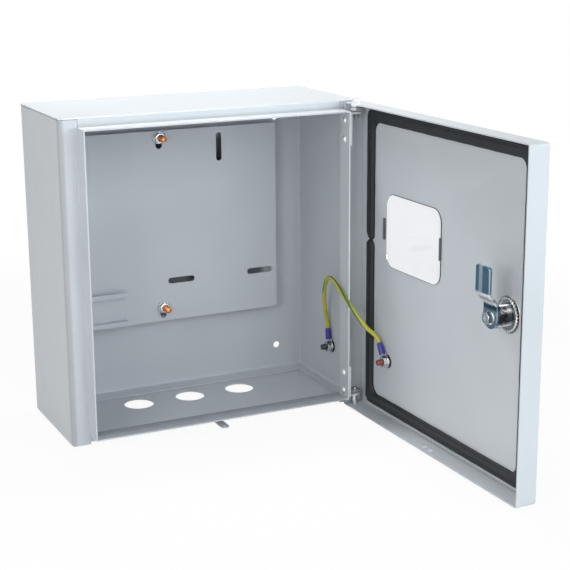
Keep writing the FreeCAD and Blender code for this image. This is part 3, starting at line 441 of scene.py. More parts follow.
class Finish(Tree):
    """A material under construction."""

    def __init__(self, name, **constants):
        self.material = bpy.data.materials.new(name)
        super().__init__(self.material)
        self.out = self.tree.nodes.new("ShaderNodeOutputMaterial")
        self.shader = self.tree.nodes.new("ShaderNodeBsdfPrincipled")
        self.tree.links.new(self.shader.outputs[0], self.out.inputs[0])
        self.object_place = self.node("ShaderNodeTexCoord", {}, {}, "Object")
        for name, value in constants.items():
            self.shader.inputs[name.replace("_", " ")].default_value = value

    def set(self, name, value):
        self.feed(self.shader.inputs[name], value)

    def base(self):
        """The colour that the surface has so far."""
        return Value(self, self.shader.inputs["Base Color"].links[0].from_socket)

    def noise(self, scale, detail, roughness=0.5):
        """Noise about one half, with `scale` ripples per metre."""
        return self.node("ShaderNodeTexNoise", {}, {
            "Vector": self.object_place, "Scale": scale, "Detail": detail, "Roughness": roughness})

    def fall(self, value, low, high):
        """One below low, nothing above high."""
        return self.ramp(value, low, high, 1.0, 0.0)

    def ramp(self, value, low, high, start=0.0, end=1.0):
        """`value` from low..high to start..end, smoothly, held outside."""
        return self.node("ShaderNodeMapRange", {"interpolation_type": "SMOOTHSTEP"}, {
            "Value": value, "From Min": low, "From Max": high, "To Min": start, "To Max": end})

    def between(self, value, none_low, full_low, full_high, none_high):
        """One from full_low to full_high, falling to nothing at the two outer bounds."""
        return self.ramp(value, none_low, full_low) * self.fall(value, full_high, none_high)

    def mix(self, factor, first, second):
        """Colour between first and second."""
        first, second = (c if isinstance(c, Value) else (*c, 1.0) for c in (first, second))
        return self.node("ShaderNodeMix", {"data_type": "RGBA"}, {
            0: factor, 6: first, 7: second}, 2)

    def paint_over(self, factor, colour):
        """Cover the colour so far with another where the factor is one."""
        self.set("Base Color", self.mix(factor, self.base(), colour))

    def bands(self, value, stops):
        """Colour at each stop (place, colour), blended between them."""
        ramp = self.node("ShaderNodeValToRGB", {}, {"Fac": value})
        elements = ramp.socket.node.color_ramp.elements
        for element, (place, colour) in zip(elements, (stops[0], stops[-1])):
            element.position = place
            element.color = (*colour, 1.0)
        for place, colour in stops[1:-1]:
            elements.new(place).color = (*colour, 1.0)
        return ramp

    def turned_away(self):
        """Zero where the surface faces the viewer, one where it is seen edge on."""
        return self.node("ShaderNodeLayerWeight", {}, {"Blend": 0.5}, "Facing")

    def place(self, axis, source=None):
        """Object coordinate along one axis, or one part of another vector."""
        return self.node("ShaderNodeSeparateXYZ", {}, {"Vector": source or self.object_place}, axis)

    def near(self, point, radius, soft):
        """One inside a ball about a point, in metres, falling to nothing outside it."""
        distance = self.node("ShaderNodeVectorMath", {"operation": "DISTANCE"}, {
            0: self.object_place, 1: tuple(point)}, "Value")
        return self.fall(distance, radius, radius + soft)

    def bump(self, height, distance):
        return self.node("ShaderNodeBump", {}, {
            "Height": height, "Distance": distance, "Strength": 1.0}, "Normal")


def scaled(colour, factor):
    return tuple(c * factor for c in colour)

# %% [markdown]
# Powder coat is paint baked on as dust. It is never quite smooth: close to, it has the ripple
# of orange peel about a millimetre apart, and a slow cloudiness in its gloss. The colour is a
# light, slightly cool grey.

# %% Powder coat


def powder_coat(name, colour, marks=()):
    """Grey coat with orange peel, slow variation and shallow round marks at given places."""
    coat = Finish(name, Specular_IOR_Level=0.45)
    cloud = coat.noise(9.0, 2.0)
    speck = coat.noise(2600.0, 1.0)
    clouded = coat.mix(coat.ramp(cloud, 0.35, 0.65), scaled(colour, 0.955), colour)
    coat.set("Base Color", coat.mix(coat.ramp(speck, 0.70, 0.80, 0.0, 0.25), clouded,
                                    scaled(colour, 0.82)))
    gloss = cloud * 0.6 + coat.noise(60.0, 2.0) * 0.4
    coat.set("Roughness", coat.ramp(gloss, 0.3, 0.7, 0.36, 0.50))
    height = coat.noise(950.0, 2.0, 0.45)
    for point, radius in marks:
        height = height - coat.near(point, radius * 0.5, radius * 0.6) * 9.0
    coat.set("Normal", coat.bump(height, 0.00007))
    return coat


COAT = (0.60, 0.635, 0.665)
WELD_MARKS = [(in_cabinet((93.7, 67.1, 3.2)), 0.0022), (in_cabinet((131.7, 58.7, 3.2)), 0.0012)]
coat = powder_coat("powder_coat", COAT, WELD_MARKS)
# painted light: the hinge brackets wear the coat lightened 1.42 times so that they read bright
bracket_lit_coat = powder_coat("bracket_lit_powder_coat", scaled(COAT, 1.42))
panel_coat = powder_coat("panel_powder_coat", scaled(COAT, 0.985))

# %% [markdown]
# Painted shade darkens the coat in the round of the left front flange and on the wall behind the
# panel, which lies in shadow. A painted highlight whitens the cut edge of the right lip, and
# painted white stands for the light seen through the two seal holes in the door. These are painted
# over the coat by place.

# %% Painted shade and highlights on the coat by place: bounds in metres, from none to full and from full to none
LEFT_BEND_SHADE_X, LEFT_BEND_SHADE_Y = (-0.1480, -0.1440), (-0.1215, -0.1175)
SHADE_X = (-0.108, -0.100, 0.100, 0.108)
SHADE_Y = (-0.008, -0.004, -0.0010, -0.0006)
SHADE_Z = (-0.0755, -0.0745, 0.105, 0.113)
SEAL_HOLES = [(-5.2, -10.4, 2.2), (5.2, -10.4, 2.2)]
SEAL_LIGHT_RADIUS = 0.0019
LIP_HIGHLIGHT_X, LIP_HIGHLIGHT_Y = (0.1290, 0.1300, 0.1342, 0.1345), (-0.1453, -0.1450)
to_right, to_back, upwards = (coat.place(axis) for axis in "XYZ")
# painted shade: the round of the left front flange darkened to 0.70 of the coat
coat.paint_over(coat.fall(to_right, *LEFT_BEND_SHADE_X) * coat.fall(to_back, *LEFT_BEND_SHADE_Y),
                scaled(COAT, 0.70))
# painted shade: the inner back wall behind the panel, darkened to 0.40 of the coat
coat.paint_over(coat.between(to_right, *SHADE_X) * coat.between(to_back, *SHADE_Y)
                * coat.between(upwards, *SHADE_Z), scaled(COAT, 0.40))
# painted light: white round the two seal holes in the door, for the light seen through them
for hole in SEAL_HOLES:
    coat.paint_over(coat.near(on_door(hole), SEAL_LIGHT_RADIUS, 0.0003), (1.0, 1.0, 1.0))
# painted highlight: near white on the cut edge of the right lip
coat.paint_over(coat.between(to_right, *LIP_HIGHLIGHT_X) * coat.fall(to_back, *LIP_HIGHLIGHT_Y),
                (0.98, 1.0, 1.0))

# %% [markdown]
# The small metal parts are zinc plated, with a bluish shine and faint grain. The lock is chrome
# plated, the studs are copper plated, the terminals tinned, the rivets aluminium. Their colours
# hold
# painted reflections: bright and dark bands by how far each face turns from the viewer. All of them
# vary in roughness, which is what makes small metal look real.

# %% Plated metals


def metal(name, rough):
    """Bright metal with cloudy gloss, and the cloud; faces that look at the viewer are satin."""
    finish = Finish(name)
    cloud = finish.noise(240.0, 2.0)
    finish.set("Metallic", finish.ramp(finish.turned_away(), 0.12, 0.34, 0.45, 1.0))
    finish.set("Roughness", finish.ramp(cloud, 0.25, 0.75, rough * 0.8, rough * 1.25))
    finish.set("Normal", finish.bump(finish.noise(1400.0, 1.0), 0.000004))
    return finish, cloud


def plated(name, rough, stops):
    """Metal with painted reflections, its colour in bands by how far it turns away, with faint
    cloudy stains.
    """
    finish, cloud = metal(name, rough)
    reflection_bands = finish.bands(finish.turned_away(), stops)
    stain = finish.ramp(cloud, 0.35, 0.75, 0.0, 0.22)
    finish.set("Base Color", finish.mix(stain, reflection_bands, scaled(stops[0][1], 0.5)))
    return finish


# painted reflections: each metal's colour stops are bright and dark bands by facing
zinc = plated("zinc_plate", 0.22, [
    (0.10, (0.92, 0.94, 0.96)), (0.28, (0.12, 0.14, 0.16)), (0.46, (0.80, 0.83, 0.86)),
    (0.62, (0.22, 0.24, 0.26)), (0.80, (0.62, 0.64, 0.66))])
chrome = plated("lock_chrome", 0.13, [
    (0.08, (0.90, 0.90, 0.90)), (0.22, (0.16, 0.17, 0.18)), (0.38, (0.85, 0.86, 0.87)),
    (0.56, (0.50, 0.52, 0.53)), (0.76, (0.18, 0.19, 0.20)), (0.92, (0.80, 0.81, 0.82))])
# painted reflection: near-black patches over the chrome, placed by noise
chrome.paint_over(chrome.ramp(chrome.noise(210.0, 2.0), 0.46, 0.56, 0.30, 0.85),
                  (0.05, 0.06, 0.06))
ring_chrome = plated("ring_chrome", 0.18, [
    (0.08, (0.92, 0.92, 0.92)), (0.30, (0.62, 0.63, 0.64)), (0.56, (0.46, 0.48, 0.49)),
    (0.76, (0.30, 0.31, 0.32)), (0.92, (0.80, 0.81, 0.82))])
tin = plated("terminal_tin", 0.28, [
    (0.10, (0.88, 0.88, 0.86)), (0.45, (0.45, 0.45, 0.44)), (0.80, (0.80, 0.80, 0.79))])
copper = plated("copper_stud", 0.32, [
    (0.10, (1.0, 0.40, 0.12)), (0.40, (0.85, 0.21, 0.03)), (0.80, (0.32, 0.06, 0.01))])
red_copper = plated("red_copper_stud", 0.36, [
    (0.20, (0.34, 0.10, 0.09)), (0.60, (0.22, 0.05, 0.045)), (0.90, (0.06, 0.02, 0.02))])
dark_stud = plated("dark_stud", 0.38, [
    (0.20, (0.10, 0.12, 0.12)), (0.60, (0.04, 0.05, 0.05)), (0.90, (0.12, 0.13, 0.13))])
black_oxide = plated("black_oxide", 0.40, [
    (0.20, (0.06, 0.06, 0.065)), (0.60, (0.03, 0.03, 0.032)), (0.90, (0.10, 0.10, 0.11))])
rivet_metal = plated("rivet_aluminium", 0.42, [
    (0.20, (0.90, 0.91, 0.93)), (0.60, (0.84, 0.85, 0.87)), (0.90, (0.60, 0.61, 0.63))])

# %% [markdown]
# The cam is bright plate with painted reflections: its colour goes in bands by height above the
# lock, for the open air it mirrors at its bends and the dark room elsewhere, with one pale painted
# highlight up the tongue and a painted white edge where it faces the viewer.

# %% Cam finish, with painted reflections and highlights
CAM_AXIS_Z, CAM_SPAN = 0.0012, 0.060
HIGHLIGHT_STREAK_Y, HIGHLIGHT_STREAK_FOOT = (-0.3845, -0.3830, -0.3805, -0.3792), (0.021, 0.023)
DEEP_TEAL, PALE, MID_BLUE = (0.06, 0.13, 0.19), (0.95, 0.97, 1.0), (0.40, 0.48, 0.62)
cam_zinc, _ = metal("cam_zinc", 0.20)
cam_cloud = cam_zinc.noise(900.0, 2.0)
cam_y, cam_z = cam_zinc.place("Y"), cam_zinc.place("Z")
height_share = cam_zinc.ramp(cam_z, CAM_AXIS_Z, CAM_AXIS_Z + CAM_SPAN)
cam_zinc.set("Base Color", cam_zinc.bands(height_share, [
    (0.03, (0.30, 0.42, 0.50)), (0.05, DEEP_TEAL), (0.09, DEEP_TEAL), (0.11, PALE), (0.155, PALE),
    (0.175, MID_BLUE), (0.205, MID_BLUE), (0.23, (1.0, 1.0, 1.0)), (0.31, (0.95, 0.96, 1.0)),
    (0.335, (0.20, 0.36, 0.46))]))
highlight_streak = (cam_zinc.ramp(cam_y + cam_cloud * 0.002, *HIGHLIGHT_STREAK_Y[:2])
          * cam_zinc.fall(cam_y, *HIGHLIGHT_STREAK_Y[2:])
          * cam_zinc.ramp(cam_z, *(CAM_AXIS_Z + h for h in HIGHLIGHT_STREAK_FOOT)))
# painted highlight: a pale streak up the tongue
cam_zinc.paint_over(highlight_streak, (0.80, 0.97, 1.0))
# painted highlight: white where the cam faces the viewer
cam_zinc.paint_over(cam_zinc.fall(cam_zinc.turned_away(), 0.13, 0.20), (1.0, 1.0, 1.0))

# %% [markdown]
# The gasket is foamed in place: black, dull, with tiny pores. The lock's outer seal is plain
# black rubber. The sleeves are blue vinyl and the wire's sheath is yellow with a green stripe
# that winds slowly round it, so it reads the wire's own map: u round it, v along it.

# %% Foam, rubber, vinyl


def plastic(name, scale, first, second, rough, **constants):
    """One noise mixes two colours and, between 0.3 and 0.7, two values of roughness."""
    finish = Finish(name, **constants)
    cloud = finish.noise(scale, 2.0)
    finish.set("Base Color", finish.mix(cloud, first, second))
    finish.set("Roughness", finish.ramp(cloud, 0.3, 0.7, *rough))
    return finish


foam = Finish("gasket_foam", Specular_IOR_Level=0.35)
pores = foam.noise(1500.0, 3.0, 0.6)
foam.set("Base Color", foam.mix(foam.ramp(pores, 0.35, 0.7), (0.012, 0.014, 0.017),
                                (0.030, 0.033, 0.038)))
foam.set("Roughness", foam.ramp(pores, 0.3, 0.7, 0.42, 0.62))
foam.set("Normal", foam.bump(pores, 0.00008))

rubber = plastic("seal_rubber", 1800.0, (0.018, 0.018, 0.019), (0.035, 0.035, 0.036),
                 (0.45, 0.65), Specular_IOR_Level=0.4)
vinyl = plastic("blue_vinyl", 500.0, (0.036, 0.034, 0.27), (0.060, 0.056, 0.38),
                (0.28, 0.42), Specular_IOR_Level=0.5)
vinyl.set("Normal", vinyl.bump(vinyl.noise(900.0, 2.0), 0.00004))
# painted shade: the clear catches wear dark grey plastic for the shade they show behind the skin
shaded_catch_plastic = plastic("shaded_catch_plastic", 400.0, (0.085, 0.095, 0.10), (0.14, 0.15, 0.155),
                        (0.3, 0.5), Specular_IOR_Level=0.5)

# %% Wire sheath, with the stripe's turn at some places along the wire in metres
STRIPE_TURNS = [(0.030, 0.80), (0.052, 1.02), (0.063, 0.98), (0.073, 0.85), (0.082, 0.71),
                (0.092, 0.67), (0.118, 0.80), (0.145, 0.97), (0.166, 1.22)]
sheath = Finish("wire_sheath", Specular_IOR_Level=0.5)
wire_map = sheath.node("ShaderNodeUVMap", {"uv_map": "along"}, {})
wire_round, wire_along = sheath.place("X", wire_map), sheath.place("Y", wire_map)
stripe_place = sheath.bands(wire_along * (1.0 / wire_length), [
    (place / wire_length, (wound / 2,) * 3) for place, wound in STRIPE_TURNS]) * 2.0
from_stripe = (wire_round - stripe_place).math("PINGPONG", 0.5)
stripe = sheath.fall(from_stripe, 0.062, 0.078)
sheath_cloud = sheath.noise(260.0, 3.0)
yellow = sheath.mix(sheath_cloud, (0.50, 0.47, 0.035), (0.64, 0.58, 0.055))
green = sheath.mix(sheath_cloud, (0.018, 0.115, 0.035), (0.028, 0.165, 0.050))
sheath.set("Base Color", sheath.mix(stripe, yellow, green))
sheath.set("Roughness", sheath.ramp(sheath_cloud, 0.3, 0.7, 0.30, 0.42))
sheath.set("Normal", sheath.bump(sheath.noise(700.0, 2.0), 0.00003))
wear(earth_wire, sheath)

# %% [markdown]
# The window is a clear moulded pane. It lets the light through, and the fine haze of moulded
# plastic shows as a slight change in roughness.

# %% Clear pane
clear = plastic("clear_pane", 40.0, (0.93, 0.935, 0.97), (0.95, 0.955, 0.985),
                (0.02, 0.07), Transmission_Weight=1.0, IOR=1.47)

# %% [markdown]
# Folded sheet has no razor edges: the coat rounds every cut edge a little, and that thin round
# catches the light as a bright line. A copy of each sheet part is merged into whole faces and
# gets a small bevel; the solid itself is left as it is.

# %% Sheet parts with softened edges
SEAM_X, SEAM_Z = 0.1322, 0.1440


def is_seam(edge):
    """True where the lid's or the floor's flange meets a side flange in one plane."""
    return all(abs(abs(v.co.x) - SEAM_X) < 5e-5 and abs(v.co.z) > SEAM_Z for v in edge.verts)


SHARP = math.radians(30.0)


def softened(node, body, slot, finish, width=0.3):
    """Merged copy of a solid with a narrow round on its edges, seams left out."""
    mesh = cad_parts[node].data.copy()
    mesh.name = node + "_soft"
    shape = bmesh.new()
    shape.from_mesh(mesh)
    bmesh.ops.remove_doubles(shape, verts=shape.verts, dist=1e-6)
    bmesh.ops.dissolve_limit(shape, angle_limit=math.radians(0.5), verts=shape.verts,
                             edges=shape.edges, use_dissolve_boundaries=False)
    weight = shape.edges.layers.float.new("bevel_weight_edge")
    for edge in shape.edges:
        rounded = edge.calc_face_angle(0.0) > SHARP and not is_seam(edge)
        edge[weight] = 1.0 if rounded else 0.0
    shape.to_mesh(mesh)
    shape.free()
    mesh.shade_smooth()
    mesh.set_sharp_from_angle(angle=SHARP)
    piece = add_object(node + "_soft", mesh)
    bevel = piece.modifiers.new("edge", "BEVEL")
    bevel.width = width * MM
    bevel.segments = 2
    bevel.limit_method = "WEIGHT"
    bevel.use_clamp_overlap = True
    bevel.harden_normals = True
    return dress(piece, body, slot, finish, [node])


for node in ("cabinet_shell", "top_plate", "bottom_plate", "seal_lug"):
    softened(node, "cabinet", "powder_coat", coat)
softened("mounting_panel", "cabinet", "panel_coat", panel_coat)
softened("din_rail", "cabinet", "rail_zinc", panel_coat, width=0.2)

# %% Door shell, and hinge brackets drawn a little further out and thicker than the solids
SOLID_FRONT, BRACKET_FRONT = -18.3, -20.25
SOLID_OUT, BRACKET_OUT = 134.9, 135.4
for node in ("upper_hinge_bracket", "lower_hinge_bracket"):
    bracket = softened(node, "cabinet", "zinc", bracket_lit_coat)
    places = read_points(bracket.data)
    front = places[:, 1] < in_cabinet((0.0, SOLID_FRONT, 0.0))[1]
    places[front, 1] = in_cabinet((0.0, BRACKET_FRONT, 0.0))[1]
    outside = np.abs(places[:, 0] - SOLID_OUT * MM) < 1e-5
    places[outside, 0] = BRACKET_OUT * MM
    bracket.data.vertices.foreach_set("co", places.ravel())
    bracket.data.update()
softened("door_shell", "door", "powder_coat", coat)

# %% [markdown]
# The gasket is a bead of foam laid round the door. Its section is a low loaf with a groove
# pressed in by the cabinet's lip, and it is carried round a rectangle with round corners. Half
# way up the hinge side the bead starts and ends, and there it is pinched.

# %% Rounded rectangle, and pieces on the door


def rounded_rectangle(half_x, half_z, radius, per_corner, per_side):
    """Points round a rectangle with round corners."""
    corner = np.linspace(0.0, math.pi / 2, per_corner)
    arcs = []
    for k, (sx, sz) in enumerate(((1, 1), (-1, 1), (-1, -1), (1, -1))):
        angle = corner + k * math.pi / 2
        centre = np.array([sx * (half_x - radius), sz * (half_z - radius)])
        arcs.append(centre + radius * np.stack([np.cos(angle), np.sin(angle)], -1))
    share = np.linspace(0, 1, per_side + 2)[1:-1, None]
    joined = []
    for arc, following in zip(arcs, arcs[1:] + arcs[:1]):
        joined += [arc, arc[-1] * (1 - share) + following[0] * share]
    return np.concatenate(joined)


def piece_on_door(name, shape, slot, finish, replaced=(), sharp=30.0):
    """A piece of the door from points and faces in shut millimetres."""
    points, faces = shape
    return dress(make_object(name, on_door(points), faces, sharp), "door", slot, finish, replaced)

# %% Gasket
GASKET_X, GASKET_Z = 129.3, 142.5
BEAD_WIDTH, BEAD_HEIGHT = 12.0, 4.0
INNER_CORNER, OUTER_CORNER = 9.5, 6.0
SKIN_IN = -23.8
LIP_X, LIP_TOP, LIP_LOW = 132.8, 145.8, 144.9
GROOVE_WIDTH, GROOVE_DEPTH = 1.5, 1.0
PINCH_Z, PINCH_HALF = 20.0, 6.5


def bead_section(width, height, count=30):
    """Loaf: h = height*(1 - |u|^4)^(1/3), with u from -1 to 1 across the width."""
    u = np.sin(np.linspace(-math.pi / 2, math.pi / 2, count))
    h = height * (1.0 - np.abs(u) ** 4) ** (1.0 / 3.0)
    return np.stack([u * width / 2, h], -1)


def from_lip(x, z):
    """Distance from the middle of the cabinet's lip, a rectangle with square corners."""
    return np.maximum(np.abs(x) - LIP_X, np.where(z > 0, z - LIP_TOP, -z - LIP_LOW))


section = bead_section(BEAD_WIDTH, BEAD_HEIGHT)
corner_radii = np.interp(section[:, 0], [-BEAD_WIDTH / 2, BEAD_WIDTH / 2],
                         [INNER_CORNER, OUTER_CORNER])
rings = np.stack([rounded_rectangle(GASKET_X + grow, GASKET_Z + grow, radius, 14, 180)
                  for grow, radius in zip(section[:, 0], corner_radii)], axis=1)
middle = rings.mean(axis=1, keepdims=True)
from_pinch = np.abs(middle[..., 1] - PINCH_Z) / PINCH_HALF
end_round = np.sqrt(np.clip(1.0 - (1.0 - np.minimum(from_pinch, 1.0)) ** 2, 0.02, 1.0))
narrow = np.where(middle[..., 0] > 0, end_round, 1.0)
turn = np.arange(len(rings))[:, None]
swell = narrow * (1.0 + 0.012 * np.sin(turn * 0.31) + 0.010 * np.sin(turn * 0.083))
rings = middle + (rings - middle) * swell[..., None]
to_lip = from_lip(rings[..., 0], rings[..., 1])
groove = GROOVE_DEPTH * np.exp(-2.0 * (to_lip / GROOVE_WIDTH) ** 2)
rise = np.maximum(section[:, 1] * (0.4 + 0.6 * narrow) - groove, 0.0)
gasket_grid = np.stack([rings[..., 0], SKIN_IN + rise, rings[..., 1] + BODY_HEIGHT / 2], -1)
piece_on_door("foam_gasket", surface(gasket_grid, close_rows=True), "gasket_foam", foam,
              ["door_gasket"], 60.0)

# %% [markdown]
# The window pane is one moulding: a rim outside the door's skin, a plug that fills the opening,
# a slightly crowned face, and two catches that spring out behind the skin. Each outline is
# the same rounded rectangle grown or shrunk, at its own depth.

# %% Window pane
WINDOW_X, WINDOW_Z = 52.2, 190.5
WINDOW_HALF = (48.35, 36.0)
WINDOW_CORNER = 13.0
SKIN_OUT = -25.0


def stacked_outlines(rings):
    """The window's outline, for each (grow, depth) grown by `grow` and standing at that depth."""
    rows = []
    for grow, depth in rings:
        flat = rounded_rectangle(WINDOW_HALF[0] + grow, WINDOW_HALF[1] + grow,
                                 max(WINDOW_CORNER + grow, 0.3), 12, 10)
        rows.append(np.stack([flat[:, 0] + WINDOW_X, np.full(len(flat), depth),
                              flat[:, 1] + WINDOW_Z], -1))
    return np.stack(rows)


pane_rings = [
    (-12.0, SKIN_OUT - 1.55), (-2.0, SKIN_OUT - 1.6), (3.2, SKIN_OUT - 1.45),
    (3.8, SKIN_OUT - 1.1), (4.0, SKIN_OUT - 0.5), (4.0, SKIN_OUT - 0.02), (-0.3, SKIN_OUT - 0.02),
    (-0.3, SKIN_IN + 0.35), (-0.45, SKIN_IN + 0.6), (-0.8, SKIN_IN + 0.7), (-12.0, SKIN_IN + 0.7)]
piece_on_door("window_moulding", surface(stacked_outlines(pane_rings)), "clear_pane", clear,
              ["window_pane"])
band_rings = [(-0.05, SKIN_OUT), (-0.05, SKIN_IN + 0.5), (-0.28, SKIN_IN + 0.5), (-0.28, SKIN_OUT)]
piece_on_door("window_edge_seal", surface(stacked_outlines(band_rings), close_rows=True),
              "seal_rubber", rubber)

# %% Window catches


def catch(side, near, far):
    """Sprung hook: a rounded block from `near` to `far` off one side of the opening."""
    edge = WINDOW_X + side * WINDOW_HALF[0]
    outline = np.array([(near, 0.02), (far, 0.02), (far, 1.9), (far - 0.3, 2.2),
                        (near + 0.3, 2.2), (near, 1.9)]) + [0.0, SKIN_IN]
    height = WINDOW_Z + np.array([-10.5, -10.1, 10.1, 10.5])
    shrink = np.array([0.85, 1.0, 1.0, 0.85])[:, None, None]
    middle = outline.mean(axis=0)
    flat = middle + (outline - middle) * shrink
    return surface(np.stack(np.broadcast_arrays(
        edge + side * flat[..., 0], flat[..., 1], height[:, None]), -1))


piece_on_door("window_catches", together(catch(1, 2.0, 4.4), catch(-1, -1.3, 0.4)),
              "clear_pane", shaded_catch_plastic)

# %% [markdown]
# The panel hangs on two copper plated studs welded to the back wall. Each has a spacer behind
# the panel, and a washer and a nut in front. The thread is a real helix: its radius depends on
# the height and on the angle.

# %% Panel studs, nuts and washers
PANEL_FRONT = 110.0
BACK_IN = 123.8
M6_RADIUS, M6_HOLE, M6_FLATS = 3.0, 3.1, 10.0
PANEL_WASHER = 1.2
TOWARDS_ROOM = (0.0, -1.0, 0.0)
stud_spots = [np.array([-15.0, 0.0, 269.2]), np.array([-15.0, 0.0, 93.0])]


def on_studs(name, shape, y, slot, finish, replaced, across=(0.0, 0.0, 1.0), sharp=35.0):
    """The same shape on both studs, from the depth y towards the room."""
    parts = [(shape, (spot + [0.0, y, 0.0], TOWARDS_ROOM, across)) for spot in stud_spots]
    piece_along(name, parts, "cabinet", slot, finish, [replaced], sharp=sharp)


on_studs("threaded_studs", thread(M6_RADIUS, 30.0), BACK_IN, "copper_stud", copper,
         "panel_studs", sharp=80.0)
on_studs("spacer_tubes", washer(M6_HOLE, 5.0, 12.3, 0.3), BACK_IN, "zinc", zinc, "panel_spacers")
on_studs("panel_flat_washers", washer(M6_HOLE, 6.3, PANEL_WASHER, 0.25), PANEL_FRONT, "zinc", zinc,
         "panel_washers")
on_studs("panel_hex_nuts", hexagon(M6_FLATS, 5.0, M6_HOLE), PANEL_FRONT - PANEL_WASHER, "zinc",
         zinc, "panel_nuts", (0.3, 0.0, 1.0))

# %% [markdown]
# Each earthing point is a short welded stud with a toothed washer, the eye of a cable terminal
# and a nut. The blue sleeve covers the crimp. All of it is worked out standing on z with the
# sleeve along y, and then turned onto the wall or the door.

# %% Toothed washer and terminal eye


def toothed_ring(inner, outer, height, teeth=18, sides=144, cut=0.45):
    """Washer whose rim is r = outer - cut over the last 45 percent of each tooth's share."""
    angle = turns(sides)
    rim = outer - cut * ((angle * teeth / math.tau) % 1.0 > 0.55)
    return lathe([(inner, 0.0), (rim, 0.0), (rim, height), (inner, height)], sides, closed=True)


def eye_plate(outer, hole, neck, reach, height, sides=48):
    """Flat eye with a neck towards +y: r = max(outer, min(neck/|cos a|, reach/sin a))."""
    angle = turns(sides)
    limit = np.minimum(flat_at(neck, np.cos(angle)), flat_at(reach, np.sin(angle)))
    rim = np.where((np.sin(angle) > 0.0) & (limit > outer), limit, outer)
    return lathe([(hole, 0.0), (rim, 0.0), (rim, height), (hole, height)], sides, closed=True)

# %% Earthing points on the wall and on the door
EARTH_STUD, EARTH_WASHER, TERMINAL_METAL = 12.5, 1.0, 1.0
NUT_FOOT = EARTH_WASHER + TERMINAL_METAL
BARREL_Z = EARTH_WASHER + TERMINAL_METAL / 2 + 2.2
BARREL_START, SLEEVE_START = 7.2, 7.6
earth_flange = lathe([(M6_HOLE, 0.0), (6.0, 0.0), (6.0, 0.55), (5.2, 1.2), (M6_HOLE, 1.2)],
                     closed=True)
crimp_barrel = lathe([(1.5, 0.0), (2.1, 0.2), (2.2, 1.0), (2.2, 7.0), (1.5, 7.0)], 32, closed=True)
blue_sleeve = lathe([(0.5, 0.4), (2.55, 0.0), (3.05, 0.35), (3.1, 1.5), (2.95, 4.5), (3.0, 7.5),
                     (2.75, 9.6), (2.7, 11.3), (2.45, 11.95), (0.5, 11.95)], 40, closed=True)


def leaning(out, degrees):
    """The sleeve's direction: upright leaned by some degrees in the plane of the sheet."""
    lean = math.radians(degrees)
    side = np.cross([0.0, 0.0, 1.0], out)
    return np.array([0.0, 0.0, 1.0]) * math.cos(lean) + side * math.sin(lean)


def earthing_point(body, foot, out, lean, place, stud_finish):
    """The five pieces of the earthing point on one body, in shut millimetres."""
    foot, out = np.asarray(foot, float), np.asarray(out, float)
    sleeve_way = leaning(out, lean)
    side = np.cross(sleeve_way, out)

    def up_by(h):
        return foot + out * h

    def piece(kind, node, slot, finish, parts, sharp=35.0):
        piece_along(f"{body}_{kind}", parts, body, slot, finish, [f"{body}_{node}"], place, sharp)

    piece("threaded_stud", "earth_stud", "copper_stud", stud_finish,
          [(thread(M6_RADIUS, EARTH_STUD), (foot, out))], 80.0)
    piece("toothed_washer", "earth_washer", "zinc", black_oxide,
          [(toothed_ring(M6_HOLE, 6.6, 0.9), (foot, out))])
    piece("hex_nut", "earth_nut", "zinc", zinc, [
        (earth_flange, (up_by(NUT_FOOT), out)),
        (hexagon(M6_FLATS, 3.9, M6_HOLE), (up_by(NUT_FOOT + 1.1), out, side * 0.8 + sleeve_way))])
    piece("eye_terminal", "cable_terminal", "terminal_tin", tin, [
        (eye_plate(5.3, M6_HOLE, 2.3, 8.4, TERMINAL_METAL), (up_by(EARTH_WASHER), out, side)),
        (crimp_barrel, (up_by(BARREL_Z) + sleeve_way * BARREL_START, sleeve_way))])
    piece("blue_sleeve", "terminal_sleeve", "sleeve_blue", vinyl,
          [(blue_sleeve, (up_by(BARREL_Z) + sleeve_way * SLEEVE_START, sleeve_way))], 50.0)


earthing_point("cabinet", (148.8, 47.5, 45.5), (-1.0, 0.0, 0.0), -6.0, in_cabinet, dark_stud)
earthing_point("door", (95.5, SKIN_IN, 58.5), (0.0, 1.0, 0.0), -34.0, on_door, red_copper)

# %% [markdown]
# Blind rivets hold the hinge brackets. Inside the opening each shows a low dome with the broken
# end of its mandrel in the middle; outside it has an upset tail. The hinge pins are bolts
# through the door's flanges, with two nuts above and one below.

# %% Rivets
LIP_IN, RIVET_Y = 132.2, -9.8
rivet_heights = [291.6, 273.2, 16.8, 35.2]
dome = lathe([(0.0, 0.5), (0.7, 0.55), (0.95, 0.9), (1.1, 1.72), (1.5, 1.8), (2.3, 1.55),
              (3.0, 1.0), (3.42, 0.35), (3.5, 0.0)], 36)
tail = lathe([(1.7, 0.0), (2.15, 0.15), (2.2, 0.8), (1.7, 1.1), (0.9, 1.15), (0.0, 1.2)], 28)
rivet_parts = []
for z in rivet_heights:
    rivet_parts.append((dome, ((LIP_IN, RIVET_Y, z), (-1.0, 0.0, 0.0))))
    rivet_parts.append((tail, ((BRACKET_OUT, RIVET_Y, z), (1.0, 0.0, 0.0))))
piece_along("blind_rivets", rivet_parts, "cabinet", "zinc", rivet_metal, ["bracket_rivets"],
            sharp=50.0)

# %% Hinge bolts and nuts
UPWARDS, DOWNWARDS, SIDEWAYS = (0.0, 0.0, 1.0), (0.0, 0.0, -1.0), (1.0, 0.0, 0.0)
BOLT_RADIUS, BOLT_DEPTH = 2.8, 0.45
UPPER_HEAD, LOWER_HEAD = 309.0, 1.0
bolt_head = hexagon(8.0, 3.0, both=False)
bolt_shank = lathe([(BOLT_RADIUS, 0.0), (BOLT_RADIUS, 12.0), (2.6, 12.2)], 36)
hinge_nut = hexagon(10.4, 3.65, 2.9)


def at_pin(z, way):
    """On the hinge axis at a height, along it up or down."""
    return PIN + [0.0, 0.0, z], way, SIDEWAYS


